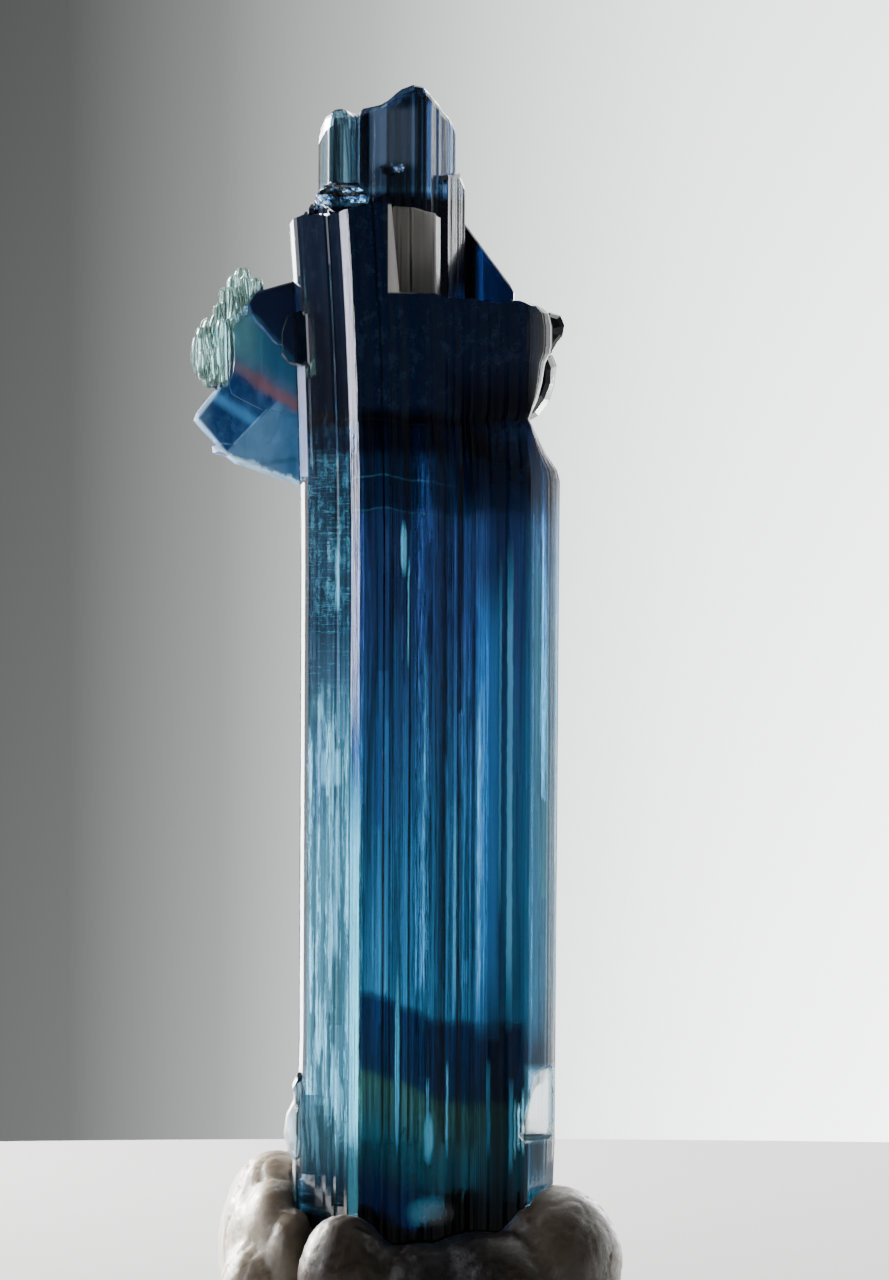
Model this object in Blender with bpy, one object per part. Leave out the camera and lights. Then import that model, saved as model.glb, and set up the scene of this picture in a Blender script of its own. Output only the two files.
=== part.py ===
"""An indicolite tourmaline crystal that stands in a lump of mounting putty.

Units are metres in the scene and millimetres in the named values. +Z is up, +X is to the right
of the crystal's wide front face, and -Y is towards the viewer. The origin is at the middle of
the flat base, on the surface that the putty stands on.
"""

import math
import random

import bmesh
import bpy
from mathutils import Matrix, Vector

MM = 0.001

# Driving dimensions, in millimetres
PRISM_WIDTH = 16.1
PRISM_DEPTH = 12.0
PRISM_MIDDLE_X = 1.5
FRONT_FACE_LEFT = -3.2
FRONT_FACE_RIGHT = 7.6
PRISM_FOOT_Z = 4.3
PANEL_THICKNESS = 3.3
SUMMIT_Z = 77.7
PUTTY_GAP = 0.3
FACE_TURN = math.radians(60)

# Colours of the two materials: red, green, blue, alpha
INDICOLITE = (0.02, 0.10, 0.20, 1.0)
PUTTY_CREAM = (0.62, 0.54, 0.42, 1.0)

# The prism leans a little to the right, and the plates at its top left bend to the left
LEAN_PER_MM = 0.004
LEAN_PIVOT_Z = 35.0
BEND_START_Z = 47.0
BEND_PER_MM2 = 0.00165

# How far the right side is cut back at each height: the foot, the long face, the chamfer, the
# notch above it and the bulging edge of the head
RIGHT_BITE = (
    (4.3, 0.7), (9.4, 0.27), (12.0, 0.17), (53.0, 0.0), (53.7, 0.2), (54.7, 0.95), (56.1, 1.7),
    (56.8, 2.05), (57.2, 1.9), (58.0, 1.5), (59.1, 1.2), (60.3, 1.0), (60.9, 0.65), (61.4, 0.55),
    (62.6, 0.55), (63.4, 0.75), (63.9, 1.5), (64.4, 2.2), (72.0, 2.4),
)
# How far the left side stands out at each height, which is most at the foot
LEFT_FLARE = ((4.3, 0.1), (9.0, 0.4), (11.5, 0.35), (13.5, 0.05), (18.0, 0.0), (72.0, 0.0))
PRISM_LEVELS = (
    4.3, 5.2, 9.0, 11.5, 13.5, 18.0, 33.0, 48.0, 53.0, 53.7, 54.7, 56.1, 56.8, 57.2, 58.0, 59.1,
    60.3, 60.9, 61.4, 62.6, 63.4, 63.9, 64.4, 66.0, 68.0, 70.0, 72.0,
)

# The broken top of the prism, from left to right as x and z: the left column, the front panel,
# the drop at its right edge and the ledge of the head
BROKEN_TOP = (
    (-9.0, 69.15), (-7.3, 69.2), (-7.0, 69.45), (-4.9, 69.6), (-4.1, 69.75), (-3.1, 70.2), (-2.1, 70.45),
    (-0.94, 70.95), (-0.38, 64.75), (1.9, 64.55), (2.9, 64.45), (5.9, 64.1), (7.1, 64.3), (8.2, 63.95),
    (8.95, 63.3), (12.0, 63.6),
)
# The top surfaces of the columns that rise from it, as height against x
SUMMIT_TOP = (
    (-3.3, 75.9), (-2.1, 76.4), (-1.3, 76.8), (-0.5, 77.4), (0.3, SUMMIT_Z), (0.9, 77.6), (1.4, 77.0),
    (1.9, 76.4), (2.4, 75.9), (2.9, 75.3), (3.2, 74.6),
)
SHOULDER_TOP = ((0.5, 71.6), (2.2, 72.0), (3.2, 72.3), (3.6, 71.4), (3.9, 70.6))
SPIRE_TOP = ((-5.6, 74.9), (-5.2, 75.7), (-4.6, 76.2), (-3.9, 76.2), (-3.3, 75.9), (-2.7, 75.0))
PLATE_TOP = ((-1.0, 70.0), (0.6, 69.9), (2.2, 69.4))
WEDGE_TOP = ((0.0, 70.9), (2.6, 70.4), (7.2, 64.2))
REAR_TOP = ((-4.0, 66.4), (0.5, 67.6), (3.0, 68.1))


def height_at(points, x):
    """The second value where the first is x, on the straight lines between the points."""
    if x <= points[0][0]:
        return points[0][1]
    for (x0, z0), (x1, z1) in zip(points, points[1:]):
        if x <= x1:
            return z0 + (z1 - z0) * (x - x0) / (x1 - x0)
    return points[-1][1]


def straight_lean(z):
    """How far the crystal's axis stands to the right at height z."""
    return LEAN_PER_MM * (z - LEAN_PIVOT_Z)


def bend(z):
    """How far the plates at the top left bend to the left at height z."""
    return BEND_PER_MM2 * max(z - BEND_START_Z, 0.0) ** 2


def prism_corners():
    """The six corners of the prism, counter-clockwise from the front face's left edge.

    The faces meet at 120 degrees.
    """
    front, back = -PRISM_DEPTH / 2, PRISM_DEPTH / 2
    left = PRISM_MIDDLE_X - PRISM_WIDTH / 2
    right = PRISM_MIDDLE_X + PRISM_WIDTH / 2
    slope = math.tan(FACE_TURN)
    left_y = front + (FRONT_FACE_LEFT - left) * slope
    right_y = front + (right - FRONT_FACE_RIGHT) * slope
    return [
        (FRONT_FACE_LEFT, front),
        (FRONT_FACE_RIGHT, front),
        (right, right_y),
        (right - (back - right_y) / slope, back),
        (left + (back - left_y) / slope, back),
        (left, left_y),
    ]


def ridge_lines(flats, depth, seed):
    """Where each side breaks into narrow flats, as (side, share of its length, how far it stands out)."""
    rng = random.Random(seed)
    lines = []
    for side, count in enumerate(flats):
        lines.append((side, 0.0, 0.0))
        for k in range(1, count):
            share = (k + rng.uniform(-0.3, 0.3)) / count
            lines.append((side, share, depth * rng.uniform(-1.0, 0.6)))
    return lines


def outline(corners, lines):
    """The points of a cross-section whose sides carry those lines."""
    points = []
    for side, share, rise in lines:
        a = Vector(corners[side])
        b = Vector(corners[(side + 1) % len(corners)])
        along = b - a
        outward = Vector((along.y, -along.x)).normalized()
        points.append(a + along * share + outward * rise)
    return points


def mesh_object(name, bm, skin=None):
    mesh = bpy.data.meshes.new(name)
    bmesh.ops.recalc_face_normals(bm, faces=bm.faces)
    bm.to_mesh(mesh)
    bm.free()
    obj = bpy.data.objects.new(name, mesh)
    bpy.context.scene.collection.objects.link(obj)
    if skin:
        mesh.materials.append(skin)
    return obj


def loft(name, rings, skin=None):
    """A closed mesh through rings of points, in millimetres, each end closed by a fan."""
    bm = bmesh.new()
    rows = [[bm.verts.new(Vector(p) * MM) for p in ring] for ring in rings]
    count = len(rows[0])
    for low, high in zip(rows, rows[1:]):
        for i in range(count):
            j = (i + 1) % count
            bm.faces.new((low[i], low[j], high[j], high[i]))
    for row in (rows[0], rows[-1]):
        middle = bm.verts.new(sum((v.co for v in row), Vector()) / count)
        for i in range(count):
            bm.faces.new((row[i], row[(i + 1) % count], middle))
    return mesh_object(name, bm, skin)


def prism(name, points, foot, top, crown=((1.0, 0.0),), levels=(0.0,)):
    """An upright crystal of that cross-section.

    top is its top surface as height against x. crown lists (share of the cross-section, drop
    below the top surface) from the wall to the middle. levels are shares of the wall's height.
    """
    centre = sum(points, Vector((0, 0))) / len(points)
    rings = []
    for share in levels:
        rings.append([(p, foot + share * (height_at(top, p.x) - crown[0][1] - foot)) for p in points])
    for scale, drop in crown:
        inner = [centre + (p - centre) * scale for p in points]
        rings.append([(p, height_at(top, p.x) - drop) for p in inner])
    return loft(name, [[(p.x + straight_lean(z), p.y, z) for p, z in ring] for ring in rings])


def side_crystal(name, foot, tip, section, sizes, end=(0.62, 0.35)):
    """A crystal along the line from foot to tip. section is (across, towards the back) and sizes
    lists (share of the length, scale). end is the scale and the length of its bevelled end."""
    foot, tip = Vector(foot), Vector(tip)
    axis = (tip - foot).normalized()
    across = axis.cross(Vector((0, 1, 0))).normalized()
    backwards = across.cross(axis)
    stations = [(foot.lerp(tip, share), scale) for share, scale in sizes]
    last = stations[-1]
    stations.append((last[0] + axis * end[1], last[1] * end[0]))
    rings = []
    for centre, scale in stations:
        rings.append([centre + (across * u + backwards * v) * scale for u, v in section])
    return loft(name, rings)


def slab(name, points, layers):
    """A crystal whose front view is that outline of x and z. layers lists (y, scale about the
    middle, shift in x, shift in z) from the front to the back."""
    middle = sum((Vector(p) for p in points), Vector((0, 0))) / len(points)
    rings = []
    for y, scale, dx, dz in layers:
        ring = [middle + (Vector(p) - middle) * scale for p in points]
        rings.append([(p.x + dx, y, p.y + dz) for p in ring])
    return loft(name, rings)


def box(name, low, high):
    bm = bmesh.new()
    size = Vector(high) - Vector(low)
    place = Matrix.Translation((Vector(low) + size / 2) * MM) @ Matrix.Diagonal((*(size * MM), 1.0))
    bmesh.ops.create_cube(bm, size=1.0, matrix=place)
    return mesh_object(name, bm)


def material(name, colour, roughness, transmission=0.0, ior=1.5):
    made = bpy.data.materials.new(name)
    made.use_nodes = True
    shader = made.node_tree.nodes["Principled BSDF"]
    shader.inputs["Base Color"].default_value = colour
    shader.inputs["Roughness"].default_value = roughness
    shader.inputs["Metallic"].default_value = 0.0
    shader.inputs["Transmission Weight"].default_value = transmission
    shader.inputs["IOR"].default_value = ior
    made.diffuse_color = colour
    return made


def combine(target, others, operation, label):
    """One Boolean of the target with a collection of objects that only shape it."""
    group = bpy.data.collections.new(label)
    bpy.context.scene.collection.children.link(group)
    for other in others:
        bpy.context.scene.collection.objects.unlink(other)
        group.objects.link(other)
        other.hide_render = True
        other.display_type = "WIRE"
    modifier = target.modifiers.new(label, "BOOLEAN")
    modifier.operation = operation
    modifier.operand_type = "COLLECTION"
    modifier.collection = group
    modifier.solver = "EXACT"


def prism_ring(lines, z, swell=0.0):
    """The prism's cross-section at height z, grown outwards by swell."""
    corners = [Vector(c) for c in prism_corners()]
    bite = height_at(RIGHT_BITE, z)
    corners[1].x -= 0.1 * bite
    corners[2].x -= bite
    corners[3].x -= 0.5 * bite
    corners[5].x -= height_at(LEFT_FLARE, z)
    for k in (0, 4, 5):
        corners[k].x -= bend(z)
    middle = sum(corners, Vector((0, 0))) / len(corners)
    corners = [c + (c - middle).normalized() * swell for c in corners]
    return [(p.x + straight_lean(z), p.y, z) for p in outline(corners, lines)]


def sky_cutter():
    """What is missing above the broken top: the same line all the way through the crystal."""
    line = [(x, z) for x, z in BROKEN_TOP] + [(12.0, 80.0), (-9.0, 80.0)]
    return loft("above_the_break", [[(x, y, z + 0.02 * y) for x, z in line] for y in (-9.0, 9.0)])


def rear_cutter():
    """What is missing behind the left column and the front panel, which stand up as thin plates."""
    back = PANEL_THICKNESS - PRISM_DEPTH / 2
    floor = (
        (-9.0, 1.4, 67.0), (-5.7, 0.9, 66.6), (-2.4, back, 66.2), (2.0, back, 66.0), (2.0, 9.0, 65.6),
        (-9.0, 9.0, 65.0),
    )
    return loft("behind_the_plates", [floor, [(x, y, 80.0) for x, y, _ in floor]])


def main_prism(skin):
    """The long striated prism, from its broken foot up into the plates at its top."""
    lines = ridge_lines(flats=(7, 3, 7, 5, 5, 5), depth=0.16, seed=4)
    crystal = loft("tourmaline_crystal", [prism_ring(lines, z) for z in PRISM_LEVELS], skin)
    combine(crystal, [sky_cutter(), rear_cutter()], "DIFFERENCE", "Broken away")
    return crystal


def top_columns():
    """The columns of the stepped top, which grow out of the prism side by side."""
    summit_corners = (
        (-3.3, -1.1), (-3.0, -3.8), (-1.35, -4.3), (1.1, -4.25), (1.45, -3.9), (2.95, -1.5), (1.5, 2.3),
        (-1.7, 2.5),
    )
    summit = prism(
        "summit_column", outline(summit_corners, ridge_lines((1, 2, 3, 1, 2, 3, 3, 3), 0.1, 9)),
        58.0, SUMMIT_TOP, crown=((1.0, 0.45), (0.93, 0.1), (0.6, 0.0)), levels=(0.0, 0.6),
    )
    plate_corners = ((-0.95, -4.5), (0.0, -4.75), (1.75, -4.65), (2.05, -4.0), (1.6, -3.2), (-0.6, -3.4))
    plate = prism(
        "striated_plate", outline(plate_corners, ridge_lines((2, 4, 1, 1, 1, 1), 0.1, 12)),
        60.0, PLATE_TOP, crown=((1.0, 0.2), (0.8, 0.0)),
    )
    shoulder_corners = ((1.5, -3.3), (2.5, -3.1), (3.55, -1.2), (3.1, 0.8), (1.9, 1.9), (0.6, 1.0))
    shoulder = prism(
        "right_shoulder", outline(shoulder_corners, ridge_lines((2, 3, 3, 2, 1, 1), 0.12, 5)),
        58.0, SHOULDER_TOP, crown=((1.0, 0.35), (0.8, 0.0)), levels=(0.0, 0.6),
    )
    spire_corners = ((-5.6, -1.6), (-4.9, -2.9), (-3.7, -3.2), (-2.9, -2.1), (-3.3, -0.4), (-4.6, 0.0))
    spire = prism(
        "left_spire", outline(spire_corners, ridge_lines((2, 2, 2, 2, 2, 2), 0.08, 3)),
        60.0, SPIRE_TOP, crown=((1.0, 0.9), (0.86, 0.25), (0.5, 0.0)), levels=(0.0, 0.5),
    )
    wedge_corners = ((0.4, 0.6), (3.2, -0.6), (6.6, -0.9), (7.0, 1.4), (4.6, 5.3), (0.2, 5.2))
    wedge = prism(
        "back_wedge", outline(wedge_corners, ridge_lines((2, 2, 2, 3, 3, 3), 0.1, 7)),
        55.0, WEDGE_TOP, crown=((1.0, 0.15), (0.9, 0.0)),
    )
    rear_corners = ((-5.9, -0.2), (-2.5, 0.3), (1.6, 2.0), (2.2, 5.4), (-3.1, 5.6))
    rear = prism(
        "rear_column", outline(rear_corners, ridge_lines((2, 2, 2, 4, 4), 0.12, 8)),
        50.0, REAR_TOP, crown=((1.0, 0.5), (0.85, 0.0)), levels=(0.0, 0.5),
    )
    slivers = []
    for k, (x, z) in enumerate(((-6.4, 69.95), (-6.05, 70.4), (-5.7, 70.8))):
        corners = [Vector(p) for p in ((x - 0.16, -0.2), (x + 0.18, -0.6), (x + 0.3, 0.2), (x, 0.5))]
        level_top = ((-9, z), (9, z))
        slivers.append(
            prism(f"top_sliver_{k + 1}", corners, 65.0, level_top, crown=((1.0, 0.25), (0.4, 0.0)))
        )
    collar_outline = (
        (-5.1, 69.3), (-3.4, 69.6), (-2.2, 71.0), (-2.4, 71.5), (-3.3, 71.65), (-4.85, 71.6),
        (-5.55, 70.8),
    )
    collar = slab(
        "top_lump", collar_outline,
        ((-4.3, 0.55, 0.0, 0.2), (-3.8, 0.9, 0.0, 0.0), (-2.6, 1.0, 0.0, 0.0), (-1.2, 0.75, 0.1, -0.1)),
    )
    return [summit, plate, shoulder, spire, wedge, rear, collar] + slivers


def head_lumps():
    """The rounded growths on the head's right edge."""
    knob_outline = (
        (8.0, 61.4), (9.1, 61.0), (9.45, 61.6), (9.8, 62.0), (9.95, 62.7), (9.65, 63.4), (9.0, 63.6),
        (8.0, 63.2),
    )
    knob = slab(
        "edge_knob", knob_outline,
        ((-3.1, 0.5, -0.3, 0.0), (-2.6, 0.92, 0.0, 0.0), (-1.9, 1.0, 0.0, 0.0), (-1.2, 0.8, -0.1, 0.0)),
    )
    rim_outline = (
        (6.2, 58.2), (7.0, 56.9), (7.8, 56.85), (8.3, 57.15), (8.95, 58.05), (9.35, 59.1), (9.45, 60.2),
        (9.1, 60.9), (6.4, 60.8),
    )
    rim = slab(
        "edge_rim", rim_outline,
        (
            (-4.0, 0.5, -0.5, 0.2), (-3.4, 0.86, -0.2, 0.0), (-2.0, 1.0, 0.0, 0.0), (-0.4, 0.93, -0.1, 0.1),
            (0.5, 0.5, -0.4, 0.2),
        ),
    )
    return [knob, rim]


def side_group():
    """The crystals that grow out of the left side, pointing up and to the left."""
    lower = side_crystal(
        "lower_side_crystal", (-3.2, 1.9, 52.9), (-11.95, 0.6, 58.55),
        ((2.05, 0.7), (1.0, -1.75), (-1.05, -1.85), (-2.1, -0.7), (-1.75, 1.3), (0.4, 2.0)),
        ((0.0, 1.12), (0.5, 1.03), (1.0, 1.0)), end=(0.86, 0.35),
    )
    rib = side_crystal(
        "lower_edge_rib", (-5.2, 1.6, 52.4), (-11.6, 0.4, 55.2),
        ((1.1, 0.3), (0.5, -1.0), (-0.5, -0.5), (-0.55, 0.6), (0.6, 1.2)),
        ((0.0, 0.9), (0.6, 1.1), (1.0, 0.85)),
    )
    upper_outline = (
        (-10.0, 65.05), (-7.2, 65.5), (-4.6, 65.9), (-3.6, 61.0), (-4.6, 56.2), (-8.7, 58.9), (-11.1, 60.4),
        (-11.8, 61.9), (-11.4, 63.3), (-10.4, 64.0),
    )
    upper = slab(
        "upper_side_crystal", upper_outline,
        (
            (-1.5, 0.6, -0.9, -0.2), (-0.6, 0.84, -0.5, 0.0), (1.3, 1.0, 0.0, 0.0), (2.9, 0.92, 0.3, 0.1),
            (3.9, 0.6, 0.9, 0.2),
        ),
    )
    # Foot, tip and width of the slender pale crystals at the left end
    blades = (
        ((-11.7, 0.6, 58.6), (-11.75, 0.3, 63.4), 0.72),
        ((-12.3, 1.4, 58.9), (-12.25, 1.2, 63.2), 0.7),
        ((-12.7, 0.3, 59.5), (-12.65, 0.2, 62.5), 0.62),
        ((-13.0, 1.0, 59.9), (-12.95, 1.0, 61.9), 0.52),
        ((-11.6, 2.1, 58.9), (-11.7, 2.2, 63.1), 0.78),
        ((-11.0, -0.3, 59.2), (-11.1, -0.5, 63.0), 0.7),
        ((-11.2, 0.5, 63.2), (-11.15, 0.4, 64.9), 0.62),
        ((-10.7, 1.1, 63.4), (-10.65, 1.0, 65.7), 0.66),
        ((-10.1, 0.3, 63.6), (-10.2, 0.2, 66.1), 0.6),
        ((-9.4, 1.0, 63.9), (-9.35, 1.0, 65.5), 0.5),
    )
    pale = []
    for k, (foot, tip, width) in enumerate(blades):
        turn = 0.3 + 0.37 * k
        angles = (0.0, 1.1, 2.1, 3.2, 4.2, 5.1)
        section = [(math.cos(turn + a) * width, math.sin(turn + a) * width) for a in angles]
        sizes = ((0.0, 0.55), (0.3, 1.0), (0.8, 0.95), (1.0, 0.75))
        pale.append(side_crystal(f"pale_blade_{k + 1}", foot, tip, section, sizes))
    chip = side_crystal(
        "foot_sliver", (-6.35, -1.1, 11.4), (-6.95, -1.0, 16.2),
        ((0.45, 0.2), (0.1, -0.5), (-0.45, -0.2), (-0.3, 0.45)),
        ((0.0, 0.7), (0.35, 1.3), (0.8, 0.9), (1.0, 0.6)),
    )
    return [lower, rib, upper, chip] + pale


def putty_lumps(skin):
    """The kneaded lumps, as (centre, radii, turn), pressed round the crystal's foot."""
    lumps = (
        ((0.8, 0.0, 1.6), (10.9, 9.2, 3.6), 0),
        ((-8.1, 2.2, 7.1), (3.4, 4.2, 4.25), 10),
        ((-8.5, -0.8, 2.6), (3.1, 4.4, 3.2), -15),
        ((-3.7, -7.3, 3.5), (3.1, 2.9, 4.2), 8),
        ((3.2, -7.2, 2.6), (5.2, 2.7, 3.5), -4),
        ((9.3, -3.6, 4.5), (4.1, 5.0, 4.95), -22),
        ((9.4, 3.8, 3.9), (3.6, 4.4, 4.3), 20),
        ((4.2, 7.3, 4.3), (4.6, 3.1, 4.5), -8),
        ((-3.6, 7.2, 3.7), (4.4, 3.0, 4.2), 14),
    )
    bm = bmesh.new()
    for centre, radii, turn in lumps:
        place = (
            Matrix.Translation(Vector(centre) * MM)
            @ Matrix.Rotation(math.radians(turn), 4, "Z")
            @ Matrix.Diagonal((*[r * MM for r in radii], 1.0))
        )
        bmesh.ops.create_icosphere(bm, subdivisions=4, radius=1.0, matrix=place)
    return mesh_object("mounting_putty", bm, skin)


def build_putty(skin):
    putty = putty_lumps(skin)
    remesh = putty.modifiers.new("One skin", "REMESH")
    remesh.mode = "VOXEL"
    remesh.voxel_size = 0.75 * MM
    smooth = putty.modifiers.new("Kneaded", "SMOOTH")
    smooth.iterations = 2
    thin = putty.modifiers.new("Fewer faces", "DECIMATE")
    thin.ratio = 0.45
    plain = [(side, 0.0, 0.0) for side in range(6)]
    depths = (PRISM_FOOT_Z - PUTTY_GAP, 9.0, 14.0)
    socket = loft("crystal_socket", [prism_ring(plain, z, swell=0.55) for z in depths])
    below = box("below_the_surface", (-20, -20, -10), (20, 20, 0))
    combine(putty, [socket, below], "DIFFERENCE", "Putty cutters")
    return putty


def build_crystal(skin):
    crystal = main_prism(skin)
    combine(crystal, top_columns() + head_lumps() + side_group(), "UNION", "Grown together")
    return crystal


def main():
    for obj in list(bpy.data.objects):
        bpy.data.objects.remove(obj, do_unlink=True)
    build_crystal(material("indicolite", INDICOLITE, 0.05, transmission=1.0, ior=1.63))
    build_putty(material("putty", PUTTY_CREAM, 0.55))


main()
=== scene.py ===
"""Looks of an indicolite tourmaline crystal that stands in a lump of mounting putty.

Lengths in the named values are millimetres, in the same frame as the solids: +Z is up, +X is to
the right of the wide front face and -Y is towards the viewer.
"""
import math
import random

import bmesh
import bpy
import numpy as np
from mathutils import Matrix, Vector, noise


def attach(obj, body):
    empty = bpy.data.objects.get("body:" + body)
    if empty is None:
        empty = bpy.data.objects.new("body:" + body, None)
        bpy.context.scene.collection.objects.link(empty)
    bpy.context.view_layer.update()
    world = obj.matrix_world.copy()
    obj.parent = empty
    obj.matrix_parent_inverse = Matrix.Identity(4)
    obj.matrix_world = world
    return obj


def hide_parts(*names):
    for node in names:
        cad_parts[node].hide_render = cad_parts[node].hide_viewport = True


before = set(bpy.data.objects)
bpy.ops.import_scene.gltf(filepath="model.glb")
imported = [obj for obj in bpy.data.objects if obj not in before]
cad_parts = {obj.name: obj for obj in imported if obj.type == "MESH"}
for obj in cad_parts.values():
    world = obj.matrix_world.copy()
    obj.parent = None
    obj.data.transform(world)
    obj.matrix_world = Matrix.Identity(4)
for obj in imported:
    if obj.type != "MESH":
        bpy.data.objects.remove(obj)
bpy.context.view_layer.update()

MM = 0.001

# The photograph's view: a level camera far enough away to keep upright lines upright
VIEW_DISTANCE = 600.0
VIEW_HEIGHT = 80.0
VIEW_CENTRE = (2.41, 43.13)

# The prism, as in the solids
PRISM_WIDTH = 16.1
PRISM_DEPTH = 12.0
PRISM_MIDDLE_X = 1.5
PRISM_SLOPE = math.tan(math.radians(60))
FRONT_FACE_LEFT = -3.2
FRONT_FACE_RIGHT = 7.6
PRISM_FOOT_Z = 4.3
PRISM_TOP_Z = 72.0
PANEL_THICKNESS = 3.3
SUMMIT_Z = 77.6
LEAN_PER_MM = 0.004
LEAN_PIVOT_Z = 35.0
BEND_START_Z = 47.0
BEND_PER_MM2 = 0.00165
RIGHT_BITE = (
    (4.3, 0.7), (9.4, 0.27), (12.0, 0.17), (53.0, 0.0), (53.7, 0.2), (54.7, 0.95), (56.1, 1.7),
    (56.8, 2.05), (57.2, 1.9), (58.0, 1.5), (59.1, 1.2), (60.3, 1.0), (60.9, 0.65), (61.4, 0.55),
    (62.6, 0.55), (63.4, 0.75), (63.9, 1.5), (64.4, 2.2), (72.0, 2.4),
)
LEFT_FLARE = ((4.3, 0.1), (8.0, 0.34), (10.0, 0.4), (12.5, 0.27), (15.0, 0.08), (18.0, 0.0), (72.0, 0.0))

# The upright facet at the left edge: its width and how far it is turned from the front
LEFT_FACET_WIDTH = 1.9
LEFT_FACET_TURN = 75.0
# The narrow bevel on each long edge, and how far each face bulges at its middle
EDGE_BEVELS = (0.34, 0.16, 0.2, 0.12, 0.12, 0.1, 0.06)
QUIET_SIDES = (1, 5)
FACE_BULGE = 0.07
# Bands on the crystals' walls: the share of wide ones, how much wider they are, and how flat the quiet
# sides' bands are
WIDE_BANDS = 0.22
WIDE_FACTOR = 2.3
QUIET_RELIEF = 0.12
# How far the outermost edges stand out beyond the solids' edges
LEFT_EXTRA = 0.08
RIGHT_EXTRA = 0.07
LEVEL_STEP = 0.62
TOP_LIMIT_Z = 78.0
ABOVE_ALL_Z = 80.0

# The putty: the size of its mesh's cells, the gap round the crystal's foot and how level its creases are
PUTTY_VOXEL = 0.3
PUTTY_SMOOTHING = 8
SOCKET_GAP = 0.3
CREASE_STRETCH = 0.8

# The broken top of the prism, from left to right as x and z
BROKEN_TOP = (
    (-9.0, 69.15), (-7.3, 69.2), (-7.0, 69.45), (-4.9, 69.6), (-4.1, 69.75), (-3.1, 70.2), (-2.1, 70.45),
    (-0.94, 70.95), (-0.38, 64.75), (1.9, 64.55), (2.9, 64.45), (5.9, 64.1), (7.1, 64.3), (8.2, 63.95),
    (8.95, 63.3), (12.0, 63.6),
)
SUMMIT_TOP = (
    (-3.3, 75.9), (-2.9, 76.1), (-2.1, 76.35), (-1.6, 76.45), (-1.25, 76.7), (-0.5, 77.3), (0.3, SUMMIT_Z),
    (0.9, 77.55), (1.3, 77.1), (1.9, 76.4), (2.1, 76.0), (2.5, 75.75), (2.9, 75.2), (3.2, 74.5),
)
SHOULDER_TOP = ((0.5, 71.6), (2.2, 72.1), (3.2, 72.25), (3.6, 71.4), (3.9, 70.6))
SPIRE_TOP = ((-5.6, 74.9), (-5.2, 75.7), (-4.6, 76.1), (-3.9, 76.15), (-3.3, 75.9), (-2.7, 75.0))
PLATE_TOP = ((-1.0, 70.1), (0.6, 69.9), (2.2, 69.4))
WEDGE_TOP = ((0.0, 70.9), (2.6, 70.4), (7.2, 64.2))
REAR_TOP = ((-4.0, 66.4), (0.5, 67.6), (3.0, 68.1))


def height_at(points, x):
    """The second value where the first is x, on the straight lines between the points."""
    return float(np.interp(x, [p[0] for p in points], [p[1] for p in points]))


def lean(z):
    return LEAN_PER_MM * (z - LEAN_PIVOT_Z)


def bend(z):
    return BEND_PER_MM2 * max(z - BEND_START_Z, 0.0) ** 2


def wobble(x, y, z, scale, seed=0.0):
    """Smooth noise from -1 to 1 at a point in millimetres."""
    return noise.noise(Vector((x * scale + seed, y * scale - seed, z * scale + 0.37 * seed)))


def prism_corners():
    """The corners of the prism, counter-clockwise from the front face's left edge."""
    front, back = -PRISM_DEPTH / 2, PRISM_DEPTH / 2
    left = PRISM_MIDDLE_X - PRISM_WIDTH / 2
    right = PRISM_MIDDLE_X + PRISM_WIDTH / 2
    left_y = front + (FRONT_FACE_LEFT - left) * PRISM_SLOPE
    right_y = front + (right - FRONT_FACE_RIGHT) * PRISM_SLOPE
    turn = math.radians(LEFT_FACET_TURN)
    return [
        (FRONT_FACE_LEFT, front),
        (FRONT_FACE_RIGHT, front),
        (right, right_y),
        (right - (back - right_y) / PRISM_SLOPE, back),
        (left + (back - left_y) / PRISM_SLOPE, back),
        (left, left_y),
        (left + LEFT_FACET_WIDTH * math.cos(turn), left_y - LEFT_FACET_WIDTH * math.sin(turn)),
    ]


def linked(name, data):
    """A new object with that mesh, lamp or camera, in the scene."""
    obj = bpy.data.objects.new(name, data)
    bpy.context.scene.collection.objects.link(obj)
    return obj


def from_bmesh(name, bm):
    mesh = bpy.data.meshes.new(name)
    bm.to_mesh(mesh)
    bm.free()
    return linked(name, mesh)


def apply_modifiers(obj):
    """Replaces the object's mesh by the one that its modifiers make."""
    bpy.context.view_layer.update()
    old = obj.data
    made = bpy.data.meshes.new_from_object(obj.evaluated_get(bpy.context.evaluated_depsgraph_get()))
    obj.modifiers.clear()
    obj.data = made
    bpy.data.meshes.remove(old)


def mesh_from(name, points, faces):
    """A mesh from points in millimetres, with its faces turned outwards."""
    mesh = bpy.data.meshes.new(name)
    mesh.from_pydata([(x * MM, y * MM, z * MM) for x, y, z in points], [], faces)
    bm = bmesh.new()
    bm.from_mesh(mesh)
    bmesh.ops.recalc_face_normals(bm, faces=bm.faces)
    bm.to_mesh(mesh)
    bm.free()
    return linked(name, mesh)


def loft(name, rings):
    """A closed mesh through rings of points, each end closed by a fan."""
    count = len(rings[0])
    points = [tuple(p) for ring in rings for p in ring]
    faces = []
    for row in range(len(rings) - 1):
        low, high = row * count, (row + 1) * count
        for i in range(count):
            j = (i + 1) % count
            faces.append((low + i, low + j, high + j, high + i))
    for row in (0, len(rings) - 1):
        points.append(tuple(np.mean(np.array(rings[row]), axis=0)))
        for i in range(count):
            faces.append((row * count + i, row * count + (i + 1) % count, len(points) - 1))
    return mesh_from(name, points, faces)


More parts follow.
